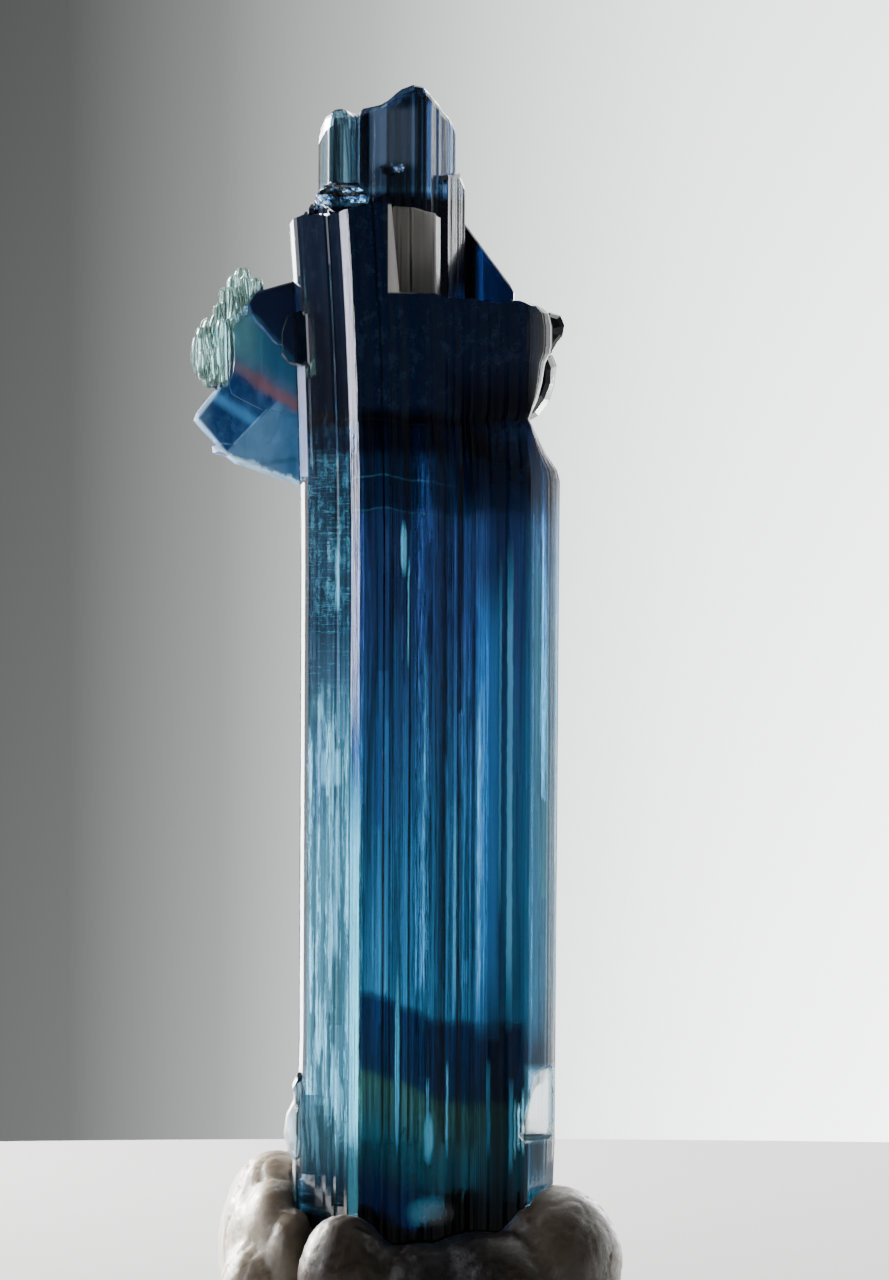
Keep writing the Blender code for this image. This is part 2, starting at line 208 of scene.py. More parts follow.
class Striations:
    """Fine lengthwise bands round a cross-section.

    widths are the least and greatest width of a band, relief is how far one stands out and sides
    are the lengths of the sides. Some bands end in a small step part of the way along.
    """

    def __init__(self, sides, widths, relief, seed, bevels=None, bulge=0.0, low=0.0, high=1.0, steps=0.5,
                 quiet=()):
        rng = random.Random(seed)
        self.side, self.share, rises, self.steps = [], [], [], []
        for side, length in enumerate(sides):
            count = len(sides)
            start = (bevels[side] if bevels else 0.0) / length
            end = 1.0 - (bevels[(side + 1) % count] if bevels else 0.0) / length
            share = start
            first = True
            while share < end:
                wide = rng.random() < WIDE_BANDS
                width = rng.uniform(*widths) * (WIDE_FACTOR if wide else 1.0) / length
                rise = 0.0 if first else rng.uniform(-1.0, 0.25) * relief * (0.5 if wide else 1.0)
                rise *= QUIET_RELIEF if side in quiet else 1.0
                self.side.append(side)
                self.share.append(share)
                rises.append(rise + bulge * 4.0 * share * (1.0 - share))
                changes = []
                while not first and side not in quiet and rng.random() < steps:
                    changes.append((rng.uniform(low, high), rng.uniform(-0.8, 0.5) * relief))
                self.steps.append(changes)
                first = False
                share += width
            if bevels and end - self.share[-1] > 0.2 * widths[0] / length:
                self.side.append(side)
                self.share.append(end)
                rises.append(0.0)
                self.steps.append([])
        self.rise = np.array(rises)

    def ring(self, corners, z):
        """The cross-section's points at height z, where its corners are there."""
        points = []
        count = len(corners)
        for side, share, rise, changes in zip(self.side, self.share, self.rise, self.steps):
            a = corners[side]
            b = corners[(side + 1) % count]
            along = (b[0] - a[0], b[1] - a[1])
            length = math.hypot(*along)
            for start, change in changes:
                rise += change if z > start else 0.0
            points.append((
                a[0] + along[0] * share + along[1] / length * rise,
                a[1] + along[1] * share - along[0] / length * rise,
            ))
        return points


def side_lengths(corners):
    return [math.dist(a, b) for a, b in zip(corners, [*corners[1:], corners[0]])]


def prism_corners_at(z):
    """The corners at height z, with the bite, the flare, the bend and the lean."""
    corners = [list(c) for c in prism_corners()]
    bite = height_at(RIGHT_BITE, z)
    corners[1][0] -= 0.1 * bite
    corners[2][0] -= bite
    corners[1][0] = min(corners[1][0], corners[2][0] - 0.25)
    corners[2][1] = corners[1][1] + (corners[2][0] - corners[1][0]) * PRISM_SLOPE
    corners[3][0] -= 0.5 * bite
    corners[5][0] -= height_at(LEFT_FLARE, z) + LEFT_EXTRA
    corners[6][0] -= 0.6 * height_at(LEFT_FLARE, z) + LEFT_EXTRA
    corners[2][0] += RIGHT_EXTRA
    for k in (0, 4, 5, 6):
        corners[k][0] -= bend(z)
    return [(x + lean(z), y) for x, y in corners]


def main_prism():
    """The long striated prism up to the tips of its plates, before its top is broken away."""
    fine = Striations(
        side_lengths(prism_corners()), (0.12, 0.34), 0.034, seed=11, bevels=EDGE_BEVELS, bulge=FACE_BULGE,
        low=8.0, high=62.0, steps=0.45, quiet=QUIET_SIDES,
    )
    even = np.arange(PRISM_FOOT_Z, PRISM_TOP_Z, LEVEL_STEP).round(2)
    levels = sorted({*even, *(z for z, _ in RIGHT_BITE)})
    rings = [[(x, y, z) for x, y in fine.ring(prism_corners_at(z), z)] for z in levels]
    # The foot is broken unevenly
    rings[0] = [(x, y, z + 0.25 * wobble(x, y, 0.0, 0.5)) for x, y, z in rings[0]]
    return loft("tourmaline_looks", rings)


def column(name, corners, foot, top, crown, seed, widths=(0.1, 0.3), relief=0.035, rough=0.12):
    """An upright crystal with a striated wall and a worn top.

    top is its top surface as height against x. crown lists (share of the cross-section, drop
    below the top surface) from the wall to the middle.
    """
    bands = Striations(side_lengths(corners), widths, relief, seed, low=foot, high=TOP_LIMIT_Z, steps=0.4)
    centre = np.mean(np.array(corners), axis=0)
    shape = bands.ring(corners, foot)
    wall_top = [height_at(top, x) - crown[0][1] for x, _ in shape]
    rings = []
    for share in np.linspace(0.0, 1.0, 14):
        ring = []
        for (x, y), end in zip(shape, wall_top):
            z = foot + share * (end - foot)
            ring.append((x + lean(z), y, z))
        rings.append(ring)
    for scale, drop in crown:
        ring = []
        for x, y in shape:
            px = centre[0] + (x - centre[0]) * scale
            py = centre[1] + (y - centre[1]) * scale
            z = height_at(top, px) - drop + rough * (scale < 0.99) * wobble(px, py, 0.0, 1.3, seed)
            ring.append((px + lean(z), py, z))
        rings.append(ring)
    return loft(name, rings)


def slab(name, outline, layers, rough=0.0, seed=0.0, cuts=3):
    """A crystal whose front view is that outline of x and z.

    layers lists (y, scale about the middle) from the front to the back. Shifts in x and z can follow.
    """
    dense = []
    for a, b in zip(outline, [*outline[1:], outline[0]]):
        for k in range(cuts):
            dense.append((a[0] + (b[0] - a[0]) * k / cuts, a[1] + (b[1] - a[1]) * k / cuts))
    mx, mz = np.mean(np.array(dense), axis=0)
    rings = []
    for k, (y, scale, *shift) in enumerate(layers):
        dx, dz = shift or (0.0, 0.0)
        ring = []
        deep = 0.5 if 0 < k < len(layers) - 1 else 0.0
        for x, z in dense:
            px, pz = mx + (x - mx) * scale + dx, mz + (z - mz) * scale + dz
            push = rough * wobble(px, y, pz, 0.9, seed)
            ring.append((px + push, y + deep * push, pz + push))
        rings.append(ring)
    return loft(name, rings)


def nodule(name, centre, radii, rough, seed):
    """A lumpy closed form round a centre."""
    bm = bmesh.new()
    bmesh.ops.create_icosphere(bm, subdivisions=4, radius=1.0)
    for v in bm.verts:
        x, y, z = v.co
        swell = 1.0 + rough * (wobble(x, y, z, 1.3, seed) + 0.45 * wobble(x, y, z, 3.1, seed))
        v.co = [(c + r * swell * value) * MM for c, r, value in zip(centre, radii, (x, y, z))]
    return from_bmesh(name, bm)


def blade(name, foot, tip, width, seed, ridges=7):
    """A slender rounded crystal with lengthwise ridges, thin at its foot and blunt at its tip."""
    rng = random.Random(seed)
    foot, tip = Vector(foot), Vector(tip)
    axis = (tip - foot).normalized()
    across = axis.cross(Vector((0, 1, 0))).normalized()
    backwards = across.cross(axis)
    count = 6 * ridges
    swell = [rng.uniform(0.75, 1.0) for _ in range(count)]
    # Share of the length and share of the width
    profile = (
        (-0.02, 0.3), (0.0, 0.5), (0.12, 0.8), (0.3, 0.97), (0.5, 1.0), (0.7, 0.98), (0.86, 0.9),
        (0.95, 0.76), (1.0, 0.5),
    )
    turn = rng.uniform(0, 6.28)
    rings = []
    for share, scale in profile:
        ring = []
        centre = foot.lerp(tip, share)
        for i in range(count):
            a = turn + math.tau * i / count
            r = width * scale * (0.9 + 0.1 * math.cos(ridges * a)) * (0.9 + 0.1 * swell[i])
            p = centre + across * (math.cos(a) * r) + backwards * (math.sin(a) * r)
            push = 0.05 * wobble(p.x, p.y, p.z, 1.6, seed)
            ring.append((p.x + push, p.y, p.z + push))
        rings.append(ring)
    return loft(name, rings)


def combine(target, others, operation):
    """Joins the others to the target, or cuts them from it, and removes them."""
    group = bpy.data.collections.new("operands")
    bpy.context.scene.collection.children.link(group)
    for other in others:
        bpy.context.scene.collection.objects.unlink(other)
        group.objects.link(other)
    modifier = target.modifiers.new(operation, "BOOLEAN")
    modifier.operation = operation
    modifier.operand_type = "COLLECTION"
    modifier.collection = group
    modifier.solver = "MANIFOLD"
    apply_modifiers(target)
    for other in others:
        mesh = other.data
        bpy.data.objects.remove(other)
        bpy.data.meshes.remove(mesh)
    bpy.data.collections.remove(group)


def sky_cutter():
    """What is missing above the broken top."""
    rng = random.Random(5)
    line = []
    for (x0, z0), (x1, z1) in zip(BROKEN_TOP, BROKEN_TOP[1:]):
        steps = max(1, int(abs(x1 - x0) / 0.3))
        for k in range(steps):
            share = k / steps
            jag = rng.uniform(-0.06, 0.06) if k else 0.0
            line.append((x0 + (x1 - x0) * share, z0 + (z1 - z0) * share + jag))
    line.append(BROKEN_TOP[-1])
    rings = []
    for y in np.linspace(-9.0, 9.0, 34):
        ring = []
        for x, z in line:
            ring.append((x, y, z + 0.02 * y + 0.22 * wobble(x, y, 3.0, 0.45) + 0.08 * wobble(x, y, 9.0, 1.4)))
        rings.append(ring + [(BROKEN_TOP[-1][0], y, ABOVE_ALL_Z), (BROKEN_TOP[0][0], y, ABOVE_ALL_Z)])
    return loft("above_the_break", rings)


def rear_cutter():
    """What is missing behind the left column and the front panel."""
    back = PANEL_THICKNESS - PRISM_DEPTH / 2
    floor = (
        (-9.0, 1.4, 67.0), (-5.7, 0.9, 66.6), (-2.4, back, 66.2), (2.0, back, 66.0), (2.0, 9.0, 65.6),
        (-9.0, 9.0, 65.0),
    )
    return loft("behind_the_plates", [floor, [(x, y, ABOVE_ALL_Z) for x, y, _ in floor]])


def top_columns():
    """The columns of the stepped top."""
    summit = column(
        "summit_column",
        ((-3.3, -1.1), (-3.0, -3.8), (-1.35, -4.3), (1.1, -4.25), (1.45, -3.9), (2.95, -1.5), (1.5, 2.3),
         (-1.7, 2.5)),
        58.0, SUMMIT_TOP, ((1.0, 0.35), (0.965, 0.12), (0.9, 0.02), (0.75, 0.0), (0.5, 0.0), (0.25, 0.0)),
        seed=9,
    )
    plate = column(
        "striated_plate",
        ((-0.95, -4.5), (0.0, -4.75), (1.75, -4.65), (2.05, -4.0), (1.6, -3.2), (-0.6, -3.4)),
        60.0, PLATE_TOP, ((1.0, 0.12), (0.9, 0.02), (0.6, 0.0)), seed=12, widths=(0.08, 0.3), relief=0.06,
    )
    shoulder = column(
        "right_shoulder", ((1.5, -3.3), (2.5, -3.1), (3.55, -1.2), (3.1, 0.8), (1.9, 1.9), (0.6, 1.0)),
        58.0, SHOULDER_TOP, ((1.0, 0.35), (0.92, 0.1), (0.75, 0.0), (0.4, 0.0)), seed=5,
    )
    spire = column(
        "left_spire", ((-5.6, -1.6), (-4.9, -2.9), (-3.7, -3.2), (-2.9, -2.1), (-3.3, -0.4), (-4.6, 0.0)),
        60.0, SPIRE_TOP, ((1.0, 0.9), (0.95, 0.5), (0.86, 0.2), (0.7, 0.05), (0.4, 0.0)), seed=3,
        widths=(0.14, 0.4), relief=0.05,
    )
    wedge = column(
        "back_wedge", ((0.4, 0.6), (3.2, -0.6), (6.6, -0.9), (6.7, 1.4), (4.6, 5.3), (0.2, 5.2)),
        61.5, WEDGE_TOP, ((1.0, 0.15), (0.93, 0.0), (0.7, 0.0), (0.4, 0.0)), seed=7, rough=0.06,
    )
    rear = column(
        "rear_column", ((-5.9, -0.2), (-2.5, 0.3), (1.6, 2.0), (2.2, 5.4), (-3.1, 5.6)),
        50.0, REAR_TOP, ((1.0, 0.5), (0.93, 0.2), (0.8, 0.0), (0.5, 0.0)), seed=8, rough=0.3,
    )
    slivers = []
    for k, (x, z) in enumerate(((-6.4, 69.95), (-6.05, 70.4), (-5.7, 70.75))):
        corners = ((x - 0.16, -0.2), (x + 0.18, -0.6), (x + 0.3, 0.2), (x, 0.5))
        slivers.append(
            column(f"top_sliver_{k}", corners, 65.0, ((-9, z), (9, z)), ((1.0, 0.3), (0.5, 0.0)), seed=20 + k)
        )
    collar = nodule("top_lump", (-3.9, -3.4, 70.62), (1.68, 1.35, 0.98), 0.2, seed=4.0)
    return [summit, plate, shoulder, spire, wedge, rear, collar] + slivers


def head_growths():
    """The rounded growths on the head's right edge."""
    knob = slab(
        "edge_knob",
        ((8.0, 61.4), (9.1, 61.0), (9.45, 61.6), (9.8, 62.0), (9.92, 62.7), (9.65, 63.35), (9.0, 63.55),
         (8.0, 63.2)),
        ((-3.1, 0.45, -0.3, 0.0), (-2.9, 0.75, -0.1, 0.0), (-2.6, 0.92), (-1.9, 1.0),
         (-1.4, 0.88, -0.1, 0.0), (-1.2, 0.7, -0.1, 0.0)),
        rough=0.06, seed=2.0, cuts=4,
    )
    rim = slab(
        "edge_rim",
        ((6.2, 58.2), (7.0, 56.9), (7.8, 56.85), (8.3, 57.15), (8.95, 58.05), (9.32, 59.1), (9.4, 60.2),
         (9.1, 60.85), (6.4, 60.8)),
        ((-4.0, 0.5, -0.5, 0.2), (-3.7, 0.72, -0.3, 0.1), (-3.3, 0.88, -0.2, 0.0), (-2.0, 1.0),
         (-0.4, 0.93, -0.1, 0.1), (0.2, 0.75, -0.3, 0.1), (0.5, 0.5, -0.4, 0.2)),
        rough=0.08, seed=6.0, cuts=4,
    )
    return [knob, rim]


def side_group():
    """The crystals that grow out of the left side."""
    lower_end = slab(
        "lower_crystal_end",
        ((-11.95, 58.8), (-13.15, 57.3), (-13.28, 56.85), (-12.0, 55.45), (-10.9, 54.7), (-9.4, 54.0),
         (-6.0, 54.5), (-5.0, 57.5), (-8.8, 59.6), (-11.2, 59.5)),
        ((0.3, 0.93, 0.05, 0.05), (0.45, 0.985), (0.7, 1.0), (2.9, 1.0), (3.3, 0.94)),
        rough=0.05, seed=3.0, cuts=5,
    )
    lower_front = slab(
        "lower_crystal_front",
        ((-10.95, 55.3), (-9.8, 56.5), (-8.75, 57.6), (-6.6, 57.0), (-4.5, 56.0), (-4.0, 52.6), (-6.4, 52.62),
         (-7.6, 53.1), (-8.66, 53.45), (-9.4, 53.75), (-10.1, 54.0), (-10.7, 54.15), (-11.3, 54.6),
         (-12.05, 54.85), (-12.1, 55.25), (-11.6, 55.4)),
        ((-0.15, 0.94, 0.15, 0.1), (0.0, 0.985), (0.2, 1.0), (2.2, 1.0), (2.6, 0.93, 0.1, 0.0)),
        rough=0.06, seed=5.0, cuts=4,
    )
    upper = slab(
        "upper_side_crystal",
        ((-10.2, 64.75), (-7.2, 65.3), (-4.6, 65.6), (-3.6, 61.0), (-4.6, 55.4), (-8.7, 57.2), (-11.0, 58.4),
         (-11.8, 61.9), (-11.4, 63.3), (-10.6, 64.1)),
        ((0.28, 0.96), (0.36, 0.99), (0.5, 1.0), (2.9, 1.0), (3.2, 0.95)),
        rough=0.06, seed=8.0, cuts=4,
    )
    plate = slab(
        "dark_side_plate",
        ((-10.15, 64.65), (-9.0, 65.0), (-7.1, 65.5), (-4.8, 65.8), (-4.6, 61.0), (-7.0, 61.2), (-8.1, 61.6),
         (-8.8, 62.3), (-9.4, 62.9), (-9.8, 63.6)),
        ((-0.45, 0.96, 0.1, 0.0), (-0.3, 1.0), (2.4, 1.0), (2.8, 0.93, 0.1, 0.0)),
        rough=0.07, seed=14.0, cuts=5,
    )
    bridge = slab(
        "dark_side_step",
        ((-7.75, 60.9), (-7.3, 60.3), (-6.5, 60.15), (-5.9, 60.6), (-5.9, 63.3), (-6.6, 63.65), (-7.35, 63.4),
         (-7.7, 62.4)),
        ((-2.2, 0.9), (-2.05, 1.0), (1.0, 1.0), (1.4, 0.9)),
        rough=0.08, seed=21.0, cuts=4,
    )
    # Foot, tip and width of the slender pale crystals at the left end
    blades = [
        ((-11.7, 0.6, 58.9), (-11.75, 0.3, 63.5), 0.72),
        ((-12.3, 1.4, 59.0), (-12.25, 1.2, 63.3), 0.7),
        ((-12.7, 0.3, 59.5), (-12.65, 0.2, 62.7), 0.62),
        ((-13.0, 1.0, 59.9), (-12.95, 1.0, 62.1), 0.5),
        ((-11.6, 2.1, 58.9), (-11.7, 2.2, 63.1), 0.78),
        ((-11.2, 0.2, 59.4), (-11.3, -0.1, 63.2), 0.6),
        ((-11.2, 0.5, 63.0), (-11.15, 0.4, 65.2), 0.62),
        ((-10.7, 1.1, 63.2), (-10.65, 1.0, 66.0), 0.66),
        ((-10.1, 0.3, 63.4), (-10.2, 0.2, 66.4), 0.6),
        ((-9.4, 1.0, 63.7), (-9.35, 1.0, 65.8), 0.5),
    ]
    rng = random.Random(17)
    for _ in range(34):
        t = rng.random()
        x, z = -12.85 + 3.2 * t ** 1.5 + rng.uniform(-0.3, 0.4), 59.3 + 5.4 * t + rng.uniform(-0.4, 0.3)
        y, tall = rng.uniform(-0.6, 0.6), rng.uniform(0.7, 2.2)
        blades.append(((x, y, z), (x + rng.uniform(-0.3, 0.1), y, z + tall), rng.uniform(0.13, 0.3)))
    pale = [blade(f"pale_blade_{k}", *ends, seed=40 + k) for k, ends in enumerate(blades)]
    chip = slab(
        "foot_sliver",
        ((-6.2, 16.5), (-6.85, 16.0), (-7.1, 15.4), (-7.05, 14.4), (-7.4, 13.6), (-7.5, 12.4), (-7.3, 11.4),
         (-6.95, 10.6), (-6.3, 10.3), (-5.9, 12.0), (-5.9, 15.0)),
        ((-1.75, 0.5, 0.2, 0.0), (-1.5, 0.88, 0.05, 0.0), (-1.1, 1.0), (0.2, 0.95), (0.6, 0.7, 0.2, 0.0)),
        rough=0.2, seed=33.0, cuts=5,
    )
    return [lower_end, lower_front, upper, plate, bridge, chip] + pale


def chipped_away():
    """What is missing at the right edge near the foot, before and behind, and the dent in the summit."""
    outline = (
        (6.95, 12.5), (7.3, 12.1), (8.2, 12.2), (9.9, 12.3), (9.9, 16.6), (9.0, 16.75), (8.4, 16.6),
        (7.9, 16.1), (7.6, 15.4), (7.4, 14.5), (7.15, 13.5),
    )
    front = slab(
        "chip_in_front", outline,
        ((-9.0, 1.1, 0.2, 0.0), (-3.7, 1.0), (-3.4, 0.93), (-3.3, 0.5)),
        rough=0.14, seed=41.0, cuts=4,
    )
    behind = slab(
        "chip_behind", outline,
        ((-1.9, 0.5), (-1.8, 0.93), (-1.5, 1.0), (7.0, 1.1, 0.2, 0.0)),
        rough=0.14, seed=43.0, cuts=4,
    )
    dent = nodule("summit_dent", (-0.85, -4.55, 72.4), (0.85, 0.55, 0.45), 0.3, seed=6.0)
    return [front, behind, dent]


def crystal():
    """The whole crystal: the prism with its broken top, and all that grew together with it."""
    body = main_prism()
    combine(body, [sky_cutter(), rear_cutter()], "DIFFERENCE")
    combine(body, top_columns() + head_growths() + side_group(), "UNION")
    combine(body, chipped_away(), "DIFFERENCE")
    return body


def putty():
    """The kneaded putty: fused lumps with folds and fine creases, pressed round the foot of the crystal."""
    lumps = (
        ((0.8, 0.0, 1.6), (10.9, 9.2, 3.6), 0),
        ((-8.0, 2.6, 7.6), (3.3, 3.9, 3.75), 10),
        ((-10.0, 1.6, 5.0), (1.75, 4.3, 4.3), 8),
        ((-8.3, -0.6, 5.7), (2.0, 3.2, 4.0), -10),
        ((-9.0, -1.6, 2.7), (2.5, 3.6, 3.3), -15),
        ((-6.9, -2.8, 4.3), (1.7, 2.6, 3.5), -20),
        ((-3.6, -7.2, 3.6), (3.2, 2.85, 4.15), 8),
        ((0.6, -7.3, 2.4), (4.4, 2.6, 3.6), -4),
        ((4.6, -7.0, 3.0), (4.6, 2.8, 3.7), -10),
        ((9.3, -3.6, 4.5), (4.1, 5.0, 4.9), -22),
        ((9.4, 3.8, 3.9), (3.6, 4.4, 4.3), 20),
        ((4.2, 7.3, 4.3), (4.6, 2.95, 4.5), -8),
        ((-3.6, 7.2, 3.7), (4.4, 2.9, 4.2), 14),
    )
    bm = bmesh.new()
    for centre, radii, turn in lumps:
        place = (
            Matrix.Translation(Vector(centre) * MM)
            @ Matrix.Rotation(math.radians(turn), 4, "Z")
            @ Matrix.Diagonal((*[r * MM for r in radii], 1.0))
        )
        bmesh.ops.create_icosphere(bm, subdivisions=4, radius=1.0, matrix=place)
    obj = from_bmesh("putty_looks", bm)
    fuse = obj.modifiers.new("fuse", "REMESH")
    fuse.mode = "VOXEL"
    fuse.voxel_size = PUTTY_VOXEL * MM
    soften = obj.modifiers.new("soften", "SMOOTH")
    soften.iterations = PUTTY_SMOOTHING
    apply_modifiers(obj)
    knead(obj.data)
    square = ((-20, -20), (20, -20), (20, 20), (-20, 20))
    floor = loft("below_the_putty", [[(x, y, z) for x, y in square] for z in (-6, 0)])
    socket = []
    for z in (PRISM_FOOT_Z - 0.25, 7.0, 9.5, 14.0):
        ring = prism_corners_at(z)
        middle = np.mean(np.array(ring), axis=0)
        out = []
        for x, y in ring:
            reach = math.hypot(x - middle[0], y - middle[1])
            share = 1.0 + SOCKET_GAP / reach
            out.append((middle[0] + (x - middle[0]) * share, middle[1] + (y - middle[1]) * share, z))
        socket.append(out)
    combine(obj, [floor, loft("crystal_socket", socket)], "DIFFERENCE")
    for face in obj.data.polygons:
        face.use_smooth = True
    return obj


def crease(p, toward, scale, seed):
    """1 on a thin wavy crease that runs across the given direction, 0 away from it."""
    spread = p - Vector(toward).normalized() * (p.dot(Vector(toward).normalized()) * CREASE_STRETCH)
    value = noise.noise(spread * scale + Vector((seed, -seed, 2 * seed)))
    return max(0.0, 1.0 - abs(value) / 0.09)


def knead(mesh):
    """Pushes folds, creases and fine wrinkles into the putty's surface."""
    offsets = []
    for v in mesh.vertices:
        p = Vector(v.co) / MM
        swell = 0.22 * noise.noise(p * 0.32 + Vector((3.1, 0.4, 7.7)))
        folds = 0.16 * crease(p, (0.25, 0.1, 1.0), 0.42, 4.0) * (1.0 if p.x < -5.0 else 0.45)
        wrinkles = 0.07 * crease(p, (0.8, 0.2, -0.6), 0.9, 9.0) + 0.045 * crease(p, (0.6, 0.1, 0.8), 1.7, 2.0)
        grain = 0.018 * noise.noise(p * 3.1) + 0.01 * noise.noise(p * 6.3)
        offsets.append(Vector(v.normal) * (swell - folds - wrinkles + grain - 0.06) * MM)
    for v, offset in zip(mesh.vertices, offsets):
        v.co += offset


class Nodes:
    """Short ways to wire up nodes. Colours are linear red, green and blue."""

    def __init__(self, tree):
        self.tree = tree

    def node(self, kind, inputs=(), **settings):
        made = self.tree.nodes.new(kind)
        for key, value in settings.items():
            setattr(made, key, value)
        for key, value in dict(inputs).items():
            self.put(made.inputs[key], value)
        return made

    def put(self, socket, value):
        if isinstance(value, bpy.types.NodeSocket):
            self.tree.links.new(value, socket)
        elif socket.type == "RGBA":
            socket.default_value = (*value, 1.0)
        else:
            socket.default_value = value

    def math(self, operation, a, b, clamp=False):
        return self.node("ShaderNodeMath", {0: a, 1: b}, operation=operation, use_clamp=clamp).outputs[0]

    def plus(self, a, b):
        return self.math("ADD", a, b)

    def minus(self, a, b):
        return self.math("SUBTRACT", a, b)

    def times(self, a, b):
        return self.math("MULTIPLY", a, b)

    def greater(self, a, b):
        return self.math("MAXIMUM", a, b)

    def lesser(self, a, b):
        return self.math("MINIMUM", a, b)

    def colours(self, value, stops):
        """A colour ramp. stops lists (place from 0 to 1, colour)."""
        made = self.node("ShaderNodeValToRGB", {"Fac": value})
        band = made.color_ramp
        band.elements.remove(band.elements[0])
        for k, (place, colour) in enumerate(stops):
            element = band.elements[0] if k == 0 else band.elements.new(place)
            element.position = place
            element.color = (*colour, 1.0)
        return made.outputs["Color"]


class Shader(Nodes):
    """A material with one Principled surface. tint is its colour so far, which paint lays more over."""

    def __init__(self, name):
        self.material = bpy.data.materials.new(name)
        self.material.use_nodes = True
        super().__init__(self.material.node_tree)
        self.surface = self.tree.nodes["Principled BSDF"]
        self.output = self.tree.nodes["Material Output"]

    def set(self, **values):
        for key, value in values.items():
            self.put(self.surface.inputs[key.replace("_", " ")], value)

    def paint(self, mask, colour):
        self.tint = self.mix(mask, self.tint, colour)

    def millimetres(self):
        """Object coordinates in millimetres, as a vector and as x, y and z."""
        place = self.node("ShaderNodeTexCoord").outputs["Object"]
        scaled = self.node("ShaderNodeVectorMath", {0: place, "Scale": 1.0 / MM}, operation="SCALE")
        split = self.node("ShaderNodeSeparateXYZ", {0: scaled.outputs[0]})
        return scaled.outputs[0], *split.outputs

    def stretched(self, vector, x, y, z):
        return self.node("ShaderNodeVectorMath", {0: vector, 1: (x, y, z)}, operation="MULTIPLY").outputs[0]

    def noise(self, vector, detail=2.0, roughness=0.5):
        inputs = {"Vector": vector, "Scale": 1.0, "Detail": detail, "Roughness": roughness}
        return self.node("ShaderNodeTexNoise", inputs).outputs["Fac"]

    def ramp(self, value, low, high, out_low=0.0, out_high=1.0):
        """A smooth step from out_low at low to out_high at high."""
        inputs = {"Value": value, "From Min": low, "From Max": high, "To Min": out_low, "To Max": out_high}
        return self.node("ShaderNodeMapRange", inputs, interpolation_type="SMOOTHSTEP").outputs[0]

    def mix(self, share, a, b, blend="MIX"):
        made = self.node("ShaderNodeMix", data_type="RGBA", blend_type=blend)
        self.put(made.inputs["Factor"], share)
        self.put(made.inputs["A"], a)
        self.put(made.inputs["B"], b)
        return made.outputs["Result"]

    def product(self, a, b):
        """Two colours multiplied."""
        return self.mix(1.0, a, b, "MULTIPLY")

    def cells(self, vector):
        """Random values from 0 to 1 in long box-shaped cells."""
        made = self.node("ShaderNodeTexVoronoi", {"Vector": vector, "Scale": 1.0}, distance="CHEBYCHEV")
        return self.node("ShaderNodeSeparateColor", {0: made.outputs["Color"]}).outputs[0]

    def shades(self, value, low, high):
        """Grey from low to high."""
        return self.mix(value, (low, low, low), (high, high, high))

    def mark(self, spot, centre, size, soft, oval, share):
        """A soft box or oval of x and z."""
        moved = self.node("ShaderNodeVectorMath", {0: spot, 1: (*centre, 0.0)}, operation="SUBTRACT")
        scaled = self.stretched(moved.outputs[0], 1.0 / size[0], 1.0 / size[1], 0.0)
        if oval:
            reach = self.node("ShaderNodeVectorMath", {0: scaled}, operation="LENGTH").outputs["Value"]
        else:
            sides = self.node("ShaderNodeVectorMath", {0: scaled}, operation="ABSOLUTE").outputs[0]
            split = self.node("ShaderNodeSeparateXYZ", {0: sides})
            reach = self.greater(split.outputs[0], split.outputs[1])
        return self.ramp(reach, 1.0 + soft, 1.0 - soft, 0.0, share)

    def inside(self, value, limits, soft, also=1.0):
        """1 where the value lies between the two limits, times the other mask."""
        rising = self.ramp(value, limits[0] - soft, limits[0] + soft)
        falling = self.ramp(value, limits[1] + soft, limits[1] - soft)
        return self.times(self.times(rising, falling), also)

    def across_line(self, x, z, a, b):
        """The distance to the left of the line from a to b, in millimetres."""
        length = math.dist(a, b)
        nx, nz = -(b[1] - a[1]) / length, (b[0] - a[0]) / length
        return self.minus(self.plus(self.times(x, nx), self.times(z, nz)), nx * a[0] + nz * a[1])

    def bump(self, height, strength, distance):
        made = self.node("ShaderNodeBump", {"Height": height, "Strength": strength, "Distance": distance})
        return made.outputs["Normal"]


# The crystal's colour zones on its front, right and left faces, from the foot up: height in millimetres
# and tint. The right and left faces' tints also hold painted light: they are lighter or darker than the
# front's where those faces catch more or less light. The back is one even tint, so that the zones are
# seen once from each side.
FRONT_ZONES = (
    (4.0, (0.0001, 0.0002, 0.001)), (8.6, (0.0001, 0.0004, 0.0035)), (10.0, (0.0004, 0.001, 0.0032)),
    (12.5, (0.004, 0.012, 0.012)), (15.8, (0.014, 0.018, 0.008)), (16.6, (0.0008, 0.0013, 0.004)),
    (21.2, (0.0008, 0.0013, 0.006)), (21.6, (0.013, 0.043, 0.08)), (37.0, (0.0095, 0.0155, 0.042)),
    (44.0, (0.009, 0.006, 0.025)), (50.8, (0.005, 0.0035, 0.016)), (51.3, (0.0006, 0.0007, 0.0035)),
    (56.0, (0.0005, 0.0006, 0.0028)), (58.0, (0.00004, 0.00006, 0.00025)),
    (69.5, (0.00004, 0.00006, 0.00025)), (71.5, (0.014, 0.02, 0.038)), (78.0, (0.01, 0.016, 0.034)),
)
RIGHT_ZONES_AND_LIGHT = (
    (4.0, (0.005, 0.008, 0.012)), (10.0, (0.01, 0.015, 0.02)), (16.0, (0.03, 0.05, 0.07)),
    (20.0, (0.04, 0.06, 0.1)), (23.0, (0.13, 0.6, 0.9)), (40.0, (0.15, 0.5, 0.85)),
    (52.0, (0.05, 0.06, 0.17)), (55.5, (0.001, 0.0012, 0.002)), (70.0, (0.001, 0.0012, 0.002)),
    (72.0, (0.05, 0.07, 0.13)),
)
